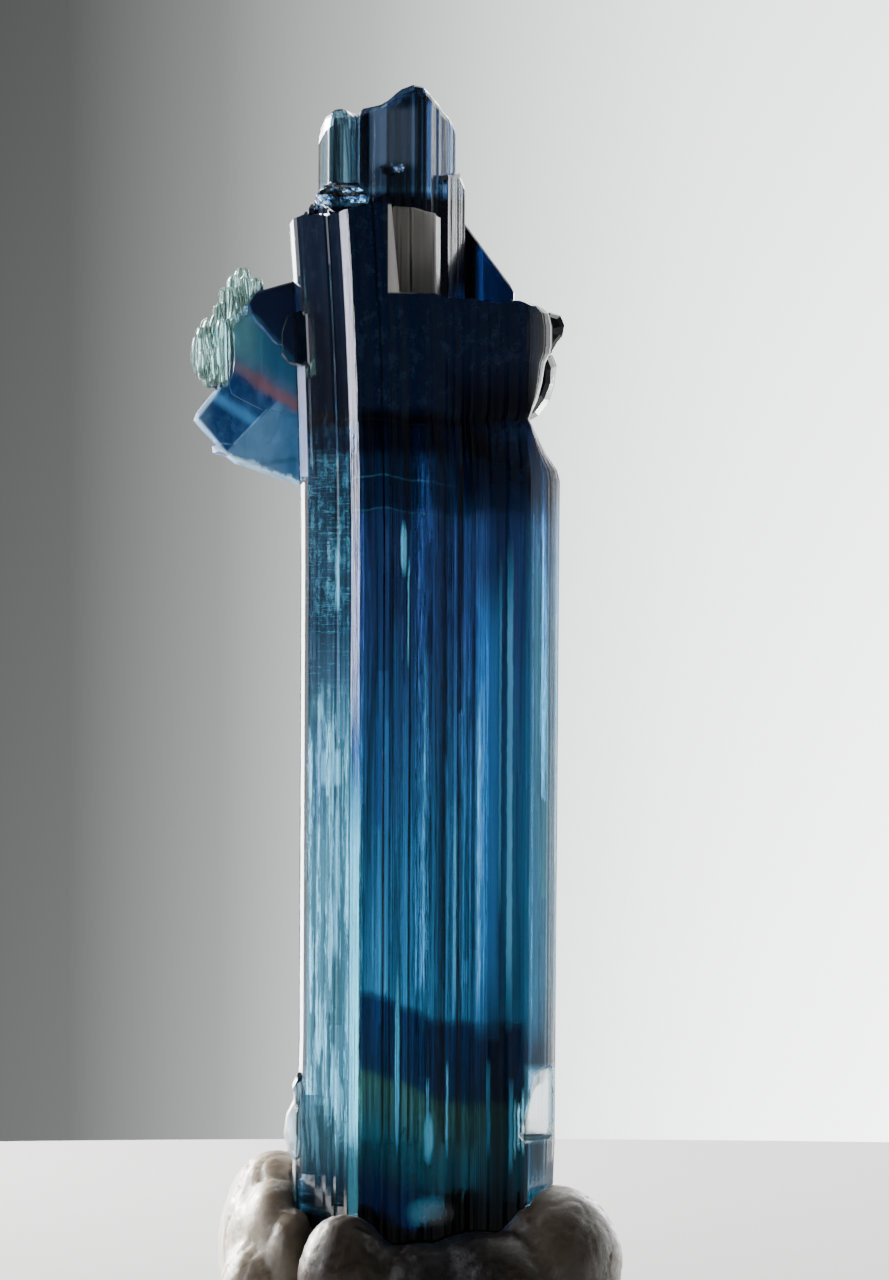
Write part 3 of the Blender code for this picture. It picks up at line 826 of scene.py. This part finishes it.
LEFT_ZONES_AND_LIGHT = (
    (4.0, (0.0001, 0.0002, 0.0004)), (8.5, (0.0002, 0.0004, 0.0008)), (10.0, (0.005, 0.006, 0.01)),
    (12.0, (0.04, 0.045, 0.04)), (20.0, (0.055, 0.065, 0.06)), (28.0, (0.065, 0.08, 0.075)),
    (37.0, (0.065, 0.08, 0.08)), (40.5, (0.022, 0.018, 0.024)), (44.0, (0.0028, 0.0024, 0.0045)),
    (47.5, (0.0055, 0.005, 0.0075)), (51.5, (0.0012, 0.001, 0.0022)), (56.5, (0.0055, 0.0035, 0.006)),
    (59.5, (0.00013, 0.00024, 0.0007)), (60.5, (0.00004, 0.00005, 0.00014)),
    (72.0, (0.00004, 0.00005, 0.00014)),
)
BACK_TINT = (0.05, 0.12, 0.18)
ZONE_SPAN = 80.0
ZONE_SWAY = 1.6
ZONE_DROP = 1.9

# Where parts of the crystal lie, as limits in millimetres. COLUMN limits are of the straightened x.
# Heights of the painted white highlight streaks on the left face
HIGHLIGHT_STREAKS_Z = (11.5, 39.0)
FROST_Z = (44.0, 60.0)
GROUP_COLUMN = (-6.55, -6.75)
PLATE_X, PLATE_Z = (-1.1, 2.3), (64.6, 70.1)
SPIRE_X = (-6.2, -3.2)
LUMP_X, LUMP_Z = (-5.7, -2.3), (70.0, 71.5)
GROWTH_Z = (56.6, 63.6)
SUMMIT_HAZE_X, SUMMIT_HAZE_Z = (-2.0, 0.7), (72.6, 76.2)
# The two long edges with painted highlights
HIGHLIGHT_EDGE_COLUMN, HIGHLIGHT_EDGE_Z = (-6.75, -6.1), (53.3, 60.2)
HIGHLIGHT_BEVEL_COLUMN, HIGHLIGHT_BEVEL_Z = (-3.4, -2.95), (56.0, 70.2)
# Each level veil below the head: its height and how far it reaches to the right
VEILS = ((51.25, 6.5), (53.3, 4.5), (56.75, 2.5))

# How much rougher some parts are
SATIN = 0.45
GROUP_HAZE = 0.28
TOP_HAZE = 0.15

# What the crystal's inside does to light
CRYSTAL_IOR = 1.63
ABSORPTION = (0.3, 0.68, 0.80)
ABSORPTION_DENSITY = 160.0

# Single marks on the crystal: centre and half size in x and z, softness, oval or not, tint, strength and
# frosting. The SKY and PALE marks and the white ones are painted highlights: bright streaks, glints and a
# glowing patch.
SKY = (0.45, 0.8, 1.0)
PALE = (0.85, 1.0, 1.0)
NAVY = (0.015, 0.03, 0.08)
MARKS = (
    ((5.9, 55.2), (3.0, 4.0), 0.4, False, (0.0015, 0.002, 0.008), 1.0, 0.0),
    ((-1.4, 34.8), (0.45, 3.4), 0.12, False, NAVY, 0.75, 0.0),
    ((-0.6, 37.5), (0.16, 6.0), 0.3, False, NAVY, 0.6, 0.0),
    ((5.1, 33.0), (0.6, 11.5), 0.3, False, (0.1, 0.3, 0.75), 0.5, 0.0),
    # Painted highlights: bright sky-blue streaks
    ((6.45, 34.2), (0.15, 11.6), 0.35, False, SKY, 0.85, 0.1),
    ((4.55, 30.0), (0.1, 8.0), 0.4, False, SKY, 0.6, 0.0),
    ((5.85, 37.0), (0.07, 8.5), 0.4, False, SKY, 0.5, 0.0),
    ((3.1, 27.0), (0.09, 5.2), 0.4, False, SKY, 0.2, 0.0),
    ((1.2, 31.0), (0.07, 9.0), 0.4, False, SKY, 0.15, 0.0),
    ((-0.15, 48.8), (0.18, 1.4), 0.35, True, SKY, 0.6, 0.3),
    ((0.15, 44.8), (0.06, 2.6), 0.4, False, SKY, 0.35, 0.0),
    ((-0.45, 17.2), (0.13, 4.9), 0.35, True, (0.12, 0.35, 0.45), 0.8, 0.1),
    ((1.5, 12.3), (0.26, 1.3), 0.4, True, (0.15, 0.4, 0.45), 0.6, 0.25),
    ((1.45, 14.6), (0.08, 1.1), 0.4, False, SKY, 0.2, 0.0),
    ((2.65, 14.0), (0.06, 2.3), 0.4, False, SKY, 0.2, 0.0),
    ((5.2, 14.1), (0.1, 2.3), 0.4, False, SKY, 0.2, 0.0),
    ((6.6, 13.0), (0.1, 2.2), 0.4, False, SKY, 0.5, 0.0),
    ((1.8, 7.7), (1.1, 0.7), 0.7, True, (0.03, 0.1, 0.14), 0.8, 0.35),
    # Painted highlight: the glowing white patch near the foot's right edge and its bright edges
    ((8.8, 14.4), (1.2, 2.15), 0.2, False, (1.0, 1.0, 1.0), 1.0, 0.25),
    ((7.35, 13.3), (0.07, 1.7), 0.3, False, (0.7, 1.0, 1.0), 1.0, 0.3),
    ((7.1, 13.0), (0.06, 1.2), 0.3, False, (0.7, 1.0, 1.0), 1.0, 0.3),
    ((6.85, 12.8), (0.05, 1.5), 0.3, False, (0.6, 1.0, 1.0), 0.9, 0.2),
    ((-3.15, 18.0), (0.3, 14.0), 0.3, False, (0.12, 0.22, 0.18), 0.9, 0.0),
    # Painted highlights: glints and pale streaks on the left face
    ((-5.1, 35.2), (0.16, 1.0), 0.35, False, PALE, 1.0, 0.12),
    ((-4.25, 35.2), (0.2, 1.0), 0.3, False, PALE, 1.0, 0.14),
    ((-4.25, 29.8), (0.12, 2.4), 0.5, False, PALE, 0.9, 0.1),
    ((-4.3, 25.5), (0.12, 1.5), 0.5, False, PALE, 0.9, 0.1),
    ((-4.4, 16.0), (0.11, 1.5), 0.5, False, PALE, 0.9, 0.1),
    ((-4.3, 47.0), (0.1, 1.5), 0.5, False, PALE, 0.6, 0.05),
)


def indicolite():
    """Clear blue tourmaline: zones of colour, lengthwise streaks, frosted flakes and fine striations."""
    s = Shader("indicolite")
    s.place, s.x, s.y, s.z = s.millimetres()
    s.drift = s.minus(s.noise(s.stretched(s.place, 0.35, 0.35, 0.05), detail=3.0), 0.5)
    # Straightened x: the same on each upright edge of the prism
    upper = s.greater(s.minus(s.z, BEND_START_Z), 0.0)
    bent = s.times(s.times(upper, upper), BEND_PER_MM2)
    leant = s.times(s.minus(s.z, LEAN_PIVOT_Z), LEAN_PER_MM)
    s.column_x = s.minus(s.plus(s.x, bent), leant)
    # The zones' limits waver, and drop towards the right near the foot
    drop = s.times(s.ramp(s.column_x, -3.2, 4.0), s.ramp(s.z, 30.0, 22.0, 0.0, ZONE_DROP))
    sway = s.plus(s.times(s.drift, ZONE_SWAY), drop)
    s.wavy_z = s.plus(s.z, sway)
    s.height = s.math("DIVIDE", s.wavy_z, ZONE_SPAN)
    # The place as the streaks see it: they run along z
    turned = s.plus(s.column_x, s.times(s.y, 0.35))
    s.along = s.node("ShaderNodeCombineXYZ", {0: turned, 2: s.z}).outputs[0]
    s.hair = s.noise(s.stretched(s.along, 8.0, 1.0, 0.05), detail=3.0, roughness=0.7)
    s.frosting = s.noise(s.stretched(s.place, 1.3, 1.3, 0.9), detail=6.0, roughness=0.75)
    # 1 on the left face, the right face, the side crystals, the plate, the lump and the crust
    s.on_left = s.ramp(s.column_x, FRONT_FACE_LEFT - 0.1, FRONT_FACE_LEFT - 0.35)
    s.on_right = s.ramp(s.column_x, 7.2, 8.0)
    s.in_group = s.times(s.ramp(s.column_x, *GROUP_COLUMN), s.ramp(s.z, 48.0, 49.0))
    before_summit = s.ramp(s.y, -4.3, -4.5)
    s.plate = s.inside(s.x, PLATE_X, 0.05, s.inside(s.z, PLATE_Z, 0.1, before_summit))
    s.lump = s.inside(s.x, LUMP_X, 0.1, s.inside(s.z, LUMP_Z, 0.12))
    s.crust = s.times(s.in_group, crusted(s))

    paint_prism(s)
    paint_side_crystals(s)
    paint_top(s)
    opaque = paint_head(s)
    paint_veils(s)
    frost = paint_marks(s)
    finish_crystal(s, opaque, frost)
    return s.material


def zones(s, stops, streaky):
    """A face's zones with its streaks."""
    return s.product(s.colours(s.height, [(z / ZONE_SPAN, colour) for z, colour in stops]), streaky)


def paint_prism(s):
    """The front, right, left and back faces of the prism."""
    z = s.z
    # Lengthwise streaks, from broad to hair-thin, fainter on the head
    broad = s.shades(s.cells(s.stretched(s.along, 1.1, 1.0, 0.045)), 0.46, 1.8)
    narrow = s.shades(s.cells(s.stretched(s.along, 3.6, 1.0, 0.07)), 0.55, 1.65)
    streaky = s.product(broad, narrow)
    streaky = s.product(streaky, s.shades(s.ramp(s.hair, 0.3, 0.7), 0.62, 1.5))
    streaky = s.mix(s.ramp(z, 54.0, 58.0, 0.0, 0.8), streaky, (0.8, 0.8, 0.8))
    s.tint = zones(s, FRONT_ZONES, streaky)
    # Lighter towards the right
    brighter = s.shades(s.ramp(s.column_x, -3.4, 6.5), 0.3, 2.0)
    s.tint = s.product(s.tint, s.mix(s.ramp(z, 22.0, 36.0), (1.0, 1.0, 1.0), brighter))
    # The right face's zone tints, made lighter or darker as painted light
    s.paint(s.on_right, zones(s, RIGHT_ZONES_AND_LIGHT, streaky))

    # The left face: streaks, painted white highlight streaks, frosting and level cracks; its zone tints hold
    # painted light too
    level = s.noise(s.stretched(s.place, 0.12, 0.12, 3.2), detail=2.0, roughness=0.8)
    crack = s.inside(level, (0.485, 0.5), 0.008)
    where = s.inside(z, FROST_Z, 2.0, s.on_left)
    s.frosted = s.times(s.ramp(s.frosting, 0.5, 0.62), where)
    left = zones(s, LEFT_ZONES_AND_LIGHT, streaky)
    # Painted highlight: bright white streaks on the left face, where light comes through
    highlight_noise = s.noise(s.stretched(s.along, 4.5, 1.0, 0.12), detail=5.0, roughness=0.75)
    white = s.times(s.ramp(highlight_noise, 0.5, 0.57), s.inside(z, HIGHLIGHT_STREAKS_Z, 2.0))
    left = s.mix(white, left, (1.0, 1.0, 0.95))
    left = s.mix(s.times(s.frosted, 0.35), left, (0.1, 0.15, 0.17))
    left = s.mix(s.times(crack, s.ramp(z, 58.0, 55.0, 0.0, 0.3)), left, (0.15, 0.2, 0.21))
    s.paint(s.on_left, left)
    s.paint(s.times(s.ramp(s.y, -0.1, 0.5), s.ramp(z, 71.6, 71.0)), BACK_TINT)


def paint_side_crystals(s):
    """The side crystals: teal, dark above, a rust line, a blue lower crystal and a pale crust."""
    x, z, streaks = s.x, s.z, s.frosting
    wavy = s.plus(z, s.times(s.minus(streaks, 0.5), 1.4))
    # The upper crystal: teal, bluer to the right, dark above and dull above the rust line
    colour = s.mix(s.ramp(x, -10.4, -8.2), (0.04, 0.1, 0.12), (0.01, 0.04, 0.08))
    below = s.across_line(x, wavy, (-10.9, 60.4), (-6.7, 57.75))
    colour = s.mix(s.ramp(below, 1.3, 0.4, 0.0, 0.7), colour, (0.03, 0.05, 0.09))
    dark = s.ramp(s.across_line(x, wavy, (-10.3, 64.3), (-7.6, 61.2)), -0.15, 0.3)
    colour = s.mix(dark, colour, (0.001, 0.003, 0.014))
    # The lower crystal: a bright band, a dark end and a paler front
    end = s.across_line(x, z, (-10.8, 55.3), (-8.6, 57.5))
    pale = s.mix(s.ramp(x, -9.0, -7.0), (0.06, 0.12, 0.2), (0.018, 0.06, 0.13))
    pale = s.mix(s.ramp(streaks, 0.4, 0.6, 0.0, 0.5), pale, (0.04, 0.09, 0.16))
    blue = s.mix(s.ramp(streaks, 0.42, 0.58), (0.003, 0.015, 0.06), (0.01, 0.035, 0.09))
    band = s.inside(s.across_line(x, z, (-12.1, 58.5), (-9.0, 56.5)), (-0.3, 0.3), 0.25)
    blue = s.mix(band, blue, (0.03, 0.11, 0.23))
    blue = s.mix(s.ramp(x, -11.9, -12.7, 0.0, 0.6), blue, (0.03, 0.06, 0.1))
    lower = s.mix(s.ramp(end, -0.03, 0.05), pale, blue)
    colour = s.mix(s.ramp(below, 0.0, -0.5), colour, lower)
    rust = s.inside(below, (-0.35, 0.3), 0.3, s.ramp(x, -11.0, -9.0, 0.35, 0.9))
    colour = s.mix(rust, colour, (0.12, 0.04, 0.05))
    # White along the lower edges
    rim = s.lesser(
        s.across_line(x, wavy, (-12.2, 55.05), (-6.4, 52.75)),
        s.across_line(x, z, (-11.95, 58.7), (-13.2, 57.05)),
    )
    rim = s.lesser(rim, s.across_line(x, z, (-13.2, 57.0), (-11.9, 55.45)))
    rim = s.times(s.ramp(rim, 0.28, 0.05), s.ramp(z, 59.0, 58.7))
    s.paint(s.in_group, s.mix(rim, colour, (0.75, 0.85, 0.95)))
    s.paint(s.crust, s.mix(s.ramp(s.hair, 0.35, 0.6), (0.1, 0.24, 0.24), (0.5, 0.68, 0.6)))


def crusted(s):
    """1 on the pale green crust at the left end."""
    x, z = s.x, s.z
    left = s.ramp(s.across_line(x, z, (-11.2, 58.4), (-10.9, 63.0)), -0.15, 0.15)
    upper = s.ramp(s.across_line(x, z, (-11.0, 62.4), (-8.9, 65.6)), -0.1, 0.15)
    return s.times(s.greater(left, upper), s.ramp(z, 58.9, 59.2))


def paint_top(s):
    """The striated plate below the summit, whose pale beige bands are painted reflection, the clearer crystal
    on its left and the lump below, whose lighter flecks are painted sparkle.
    """
    # Painted reflection: pale beige bands on the plate
    bands = s.noise(s.stretched(s.place, 2.6, 0.5, 0.05), detail=3.0, roughness=0.6)
    s.paint(s.plate, s.mix(s.ramp(bands, 0.32, 0.48), (0.06, 0.06, 0.07), (0.5, 0.49, 0.46)))
    spire = s.inside(s.x, SPIRE_X, 0.15, s.ramp(s.z, 71.3, 71.7))
    s.paint(spire, s.mix(s.ramp(s.hair, 0.4, 0.62), (0.02, 0.05, 0.08), (0.13, 0.22, 0.27)))
    s.paint(s.times(spire, s.ramp(s.x, -4.75, -5.0)), (0.012, 0.026, 0.03))
    # Painted highlights: lighter flecks on the lump
    sparkle = s.ramp(s.frosting, 0.42, 0.6)
    s.paint(s.lump, s.mix(sparkle, (0.004, 0.012, 0.04), (0.12, 0.2, 0.3)))


def paint_head(s):
    """The head is too dark to see through. Returns 1 where it is opaque."""
    outside = s.minus(1.0, s.greater(s.in_group, s.lump))
    below_top = s.times(s.ramp(s.z, 70.7, 70.4), outside)
    opaque = s.times(s.ramp(s.wavy_z, 56.0, 57.6), below_top)
    # Its colour reaches further down and up on the back
    lower = s.plus(s.wavy_z, s.ramp(s.y, -0.5, 0.5, 0.0, 2.4))
    upper = s.minus(s.z, s.ramp(s.y, -0.5, 0.5, 0.0, 0.9))
    mask = s.times(s.ramp(lower, 56.5, 57.7), s.times(s.ramp(upper, 70.4, 70.1), outside))
    mask = s.times(mask, s.minus(1.0, s.plate))
    flecked = s.ramp(s.frosting, 0.5, 0.64, 0.0, 0.5)
    flecks = s.mix(flecked, (0.0045, 0.011, 0.034), (0.02, 0.04, 0.08))
    flecks = s.product(flecks, s.shades(s.ramp(s.y, -1.5, 0.5), 1.0, 0.35))
    flecks = s.product(flecks, s.shades(s.on_left, 1.0, 0.45))
    # The slanting wing on its right is thinner, and light comes through it
    wing = s.times(s.ramp(s.x, 4.3, 4.6), s.ramp(s.z, 63.9, 64.2))
    flecks = s.mix(wing, flecks, (0.012, 0.028, 0.12))
    s.paint(mask, flecks)
    # The rounded growths on the head's right edge are nearly black
    growth = s.inside(s.z, GROWTH_Z, 0.1, s.ramp(s.column_x, 8.45, 8.7))
    s.paint(growth, (0.004, 0.005, 0.01))
    return s.times(opaque, s.minus(1.0, wing))


def paint_veils(s):
    """Thin level veils just below the dark head."""
    arc = s.times(s.ramp(s.column_x, -3.2, 3.0), 0.5)
    for level, reach in VEILS:
        line = s.minus(s.plus(s.z, s.plus(arc, s.times(s.drift, 1.2))), level)
        veil = s.inside(line, (-0.03, 0.03), 0.05, s.inside(s.column_x, (-3.1, reach), 0.6))
        s.paint(s.times(veil, 0.35), (0.02, 0.035, 0.05))


def paint_marks(s):
    """Light and dark streaks, drops and clear patches; the light streaks and the white patch are painted
    highlights. Returns how frosted they are.
    """
    waver = s.times(s.minus(s.noise(s.stretched(s.place, 0.5, 0.5, 0.9)), 0.5), 0.16)
    spot = s.node("ShaderNodeCombineXYZ", {0: s.plus(s.column_x, waver), 1: s.z}).outputs[0]
    total = 0.0
    for centre, size, soft, oval, colour, share, frost in MARKS:
        mask = s.mark(spot, centre, size, soft, oval, share)
        s.paint(mask, colour)
        if frost:
            total = s.plus(total, s.times(mask, frost))
    return total


def finish_crystal(s, opaque, frost):
    """Gloss, clearness, relief and what the inside absorbs."""
    y, z, column_x = s.y, s.z, s.column_x
    fine = s.noise(s.stretched(s.place, 9.0, 9.0, 0.06), detail=3.0, roughness=0.6)
    rough = s.plus(s.ramp(fine, 0.45, 0.8, 0.015, 0.12), s.times(s.frosted, 0.1))
    rough = s.minus(rough, s.times(s.crust, 0.15))
    rough = s.plus(rough, s.times(s.plate, 0.2))
    # The back right face is satin
    turned = s.plus(s.times(column_x, 0.866), s.times(y, 0.5))
    satin = s.times(s.ramp(turned, 6.5, 6.8), s.ramp(y, -2.6, -2.2))
    rough = s.plus(rough, s.times(satin, SATIN))
    rough = s.plus(rough, s.times(s.in_group, GROUP_HAZE))
    rough = s.plus(rough, s.ramp(z, 70.2, 71.2, 0.0, TOP_HAZE))
    rough = s.plus(rough, frost)
    # The splintered piece at the foot's left edge is white
    splinter = s.times(s.ramp(column_x, -6.72, -6.85), s.ramp(z, 18.0, 17.0))
    s.paint(splinter, (1.0, 1.0, 1.0))
    rough = s.plus(rough, s.times(splinter, 0.3))
    # The summit's front is hazy, and two long edges get painted highlights: pale, cloudy strips where nothing
    # bright lies behind them
    haze = s.inside(z, SUMMIT_HAZE_Z, 0.35, s.ramp(y, -3.6, -3.9))
    haze = s.inside(s.x, SUMMIT_HAZE_X, 0.35, haze)
    s.paint(s.times(haze, 0.9), (0.13, 0.17, 0.24))
    edge = s.inside(column_x, HIGHLIGHT_EDGE_COLUMN, 0.03, s.ramp(y, -0.2, -0.3))
    edge = s.inside(z, HIGHLIGHT_EDGE_Z, 0.08, edge)
    bevel = s.inside(z, HIGHLIGHT_BEVEL_Z, 1.5, s.ramp(y, -5.0, -5.4))
    bevel = s.inside(column_x, HIGHLIGHT_BEVEL_COLUMN, 0.06, bevel)
    # Painted highlight on the two edges
    pale = s.greater(edge, bevel)
    s.paint(pale, (0.66, 0.66, 0.9))
    cloudy = s.plus(s.times(s.crust, 0.35), s.times(s.plate, 0.92))
    cloudy = s.plus(cloudy, s.times(splinter, 0.35))
    cloudy = s.plus(cloudy, s.plus(s.times(pale, 0.9), s.times(haze, 0.5)))
    cloudy = s.greater(cloudy, opaque)
    # Fine grooves on the wide face, soft unevenness on the side crystals
    sides = s.greater(s.on_left, s.on_right)
    soft = s.noise(s.stretched(s.place, 0.8, 0.8, 0.8), detail=3.0, roughness=0.5)
    groove = s.times(fine, s.minus(1.0, s.times(sides, 0.7)))
    relief = s.plus(groove, s.times(s.times(soft, s.in_group), 2.5))
    s.set(
        Base_Color=s.tint, Roughness=rough, IOR=CRYSTAL_IOR,
        Transmission_Weight=s.math("SUBTRACT", 1.0, cloudy, clamp=True),
        Normal=s.bump(relief, 0.25, 0.00005),
    )
    absorbing = s.node("ShaderNodeVolumeAbsorption", {"Color": ABSORPTION, "Density": ABSORPTION_DENSITY})
    s.put(s.output.inputs["Volume"], absorbing.outputs[0])


def putty_skin():
    """Waxy ivory putty with a soft uneven sheen, and painted shade: darker and browner in front, next to the
    crystal and in its creases.
    """
    s = Shader("putty")
    place, x, y, _ = s.millimetres()
    cloud = s.noise(s.stretched(place, 0.22, 0.22, 0.22), detail=4.0, roughness=0.6)
    speck = s.noise(s.stretched(place, 2.4, 2.4, 2.4), detail=3.0, roughness=0.6)
    ivory = ((0.35, (0.27, 0.22, 0.16)), (0.5, (0.42, 0.37, 0.29)), (0.65, (0.56, 0.52, 0.43)))
    tint = s.product(s.colours(cloud, ivory), s.shades(s.ramp(speck, 0.3, 0.7), 0.88, 1.08))
    # Painted shade: darker in front, where the crystal's shade falls, next to the crystal and in the creases
    shade = s.mix(s.inside(x, (-1.0, 6.0), 2.5), (0.14, 0.125, 0.11), (0.03, 0.035, 0.06))
    tint = s.mix(s.ramp(y, -2.5, -6.5), tint, s.product(tint, shade))
    # Painted shade in the crevices next to the crystal
    tint = s.mix(s.inside(x, (-8.6, 8.0), 0.6), tint, s.product(tint, (0.4, 0.36, 0.32)))
    # Painted shade in the creases, from the mesh's pointiness
    crease_shade = s.node("ShaderNodeNewGeometry").outputs["Pointiness"]
    tint = s.product(tint, s.colours(crease_shade, ((0.44, (0.45, 0.38, 0.3)), (0.5, (1.0, 1.0, 1.0)))))
    fine = s.noise(s.stretched(place, 5.0, 5.0, 5.0), detail=4.0, roughness=0.65)
    s.set(
        Base_Color=tint, Roughness=s.ramp(speck, 0.3, 0.7, 0.3, 0.52), IOR=1.47,
        Subsurface_Weight=0.35, Subsurface_Scale=0.002, Subsurface_Radius=(1.0, 0.62, 0.34),
        Normal=s.bump(fine, 0.35, 0.00006),
    )
    return s.material


# The round floor and how far its middle lies behind the crystal
FLOOR_RADIUS = 150.0
FLOOR_SHIFT = 80.0


def stage():
    bm = bmesh.new()
    bmesh.ops.create_circle(bm, cap_ends=True, segments=128, radius=FLOOR_RADIUS * MM)
    floor = from_bmesh("floor", bm)
    floor.location.y = FLOOR_SHIFT * MM
    s = Shader("floor_paper")
    s.set(Base_Color=(0.4, 0.4, 0.4), Roughness=0.8)
    floor.data.materials.append(s.material)


def area_light(name, place, target, size, power, colour=(1, 1, 1)):
    data = bpy.data.lights.new(name, "AREA")
    data.shape = "RECTANGLE"
    data.size, data.size_y = size[0] * MM, size[1] * MM
    data.energy = power
    data.color = colour
    obj = linked(name, data)
    obj.location = Vector(place) * MM
    obj.rotation_euler = (Vector(target) - Vector(place)).to_track_quat("-Z", "Y").to_euler()
    obj.visible_camera = False


# The wall's brightness across the view, from left (0) to right (1), and the room's from the front (0)
# to the back (1)
WALL_LIGHT = 4.5
WALL = (
    (0.0, 0.03), (0.07, 0.04), (0.13, 0.28), (0.2, 0.25), (0.28, 0.05), (0.46, 0.03), (0.48, 0.035),
    (0.488, 0.09), (0.497, 0.24), (0.514, 0.82), (0.53, 1.1), (0.56, 1.1), (0.7, 0.65), (0.8, 0.7),
    (0.86, 1.2), (0.88, 3.5), (0.9, 1.2), (0.92, 0.15), (1.0, 0.06),
)
ROOM = ((0.0, 0.02), (0.3, 0.04), (0.6, 0.5), (0.8, 1.0), (1.0, 1.0))
# Place, target, size, power and colour of each lamp
LIGHTS = {
    "window_right": ((137, 376, 90), (0, 0, 40), (50, 320), 1.2, (0.93, 0.94, 1.0)),
    "window_far_right": ((300, 265, 90), (0, 0, 40), (60, 320), 0.1, (0.95, 0.98, 1.0)),
    "window_left": ((-194, 350, 60), (0, 0, 40), (90, 320), 2.0, (0.93, 0.95, 1.0)),
    "rim_left": ((-290, 230, 190), (0, 0, 5), (140, 120), 10.0, (1.0, 0.98, 0.95)),
    "strip_left": ((-330, -190, 180), (0, 0, 60), (60, 300), 1.2, (0.93, 0.94, 1.0)),
    "top_light": ((60, 140, 400), (0, 0, 20), (240, 240), 0.25, (1.0, 0.97, 0.92)),
}


def grey(stops):
    return [(place, (level, level, level)) for place, level in stops]


def lights():
    """A dim room in front, a grey wall behind on the left that turns bright towards the right."""
    world = bpy.data.worlds.new("studio")
    bpy.context.scene.world = world
    world.use_nodes = True
    n = Nodes(world.node_tree)
    background = n.tree.nodes["Background"]
    split = n.node("ShaderNodeSeparateXYZ", {0: n.node("ShaderNodeTexCoord").outputs["Generated"]}).outputs
    across = n.plus(n.times(split["X"], 0.5), 0.5)
    ahead = n.plus(n.times(split["Y"], 0.5), 0.5)
    wall, room = [n.colours(at, grey(stops)) for at, stops in ((across, WALL), (ahead, ROOM))]
    # A little brighter below than above
    lower = n.minus(1.0, n.times(split["Z"], 4.5))
    level = n.times(n.times(wall, room), n.lesser(n.greater(lower, 0.6), 1.25))
    n.put(background.inputs["Strength"], n.times(level, WALL_LIGHT))
    n.put(background.inputs["Color"], (0.98, 1.0, 1.0))
    for name, values in LIGHTS.items():
        area_light(name, *values)


def camera():
    data = bpy.data.cameras.new("view")
    data.sensor_width = 36.0
    data.lens = 36.0 * VIEW_DISTANCE / VIEW_HEIGHT
    data.clip_start, data.clip_end = 0.01, 10.0
    obj = linked("view", data)
    obj.location = Vector((VIEW_CENTRE[0], -VIEW_DISTANCE, VIEW_CENTRE[1])) * MM
    obj.rotation_euler = (math.pi / 2, 0.0, 0.0)
    bpy.context.scene.camera = obj


def main():
    body = crystal()
    body.data.materials.clear()
    body.data.materials.append(indicolite())
    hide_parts("tourmaline_crystal")
    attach(body, "root")
    holder = putty()
    holder.data.materials.clear()
    holder.data.materials.append(putty_skin())
    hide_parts("mounting_putty")
    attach(holder, "root")
    stage()
    lights()
    camera()


main()
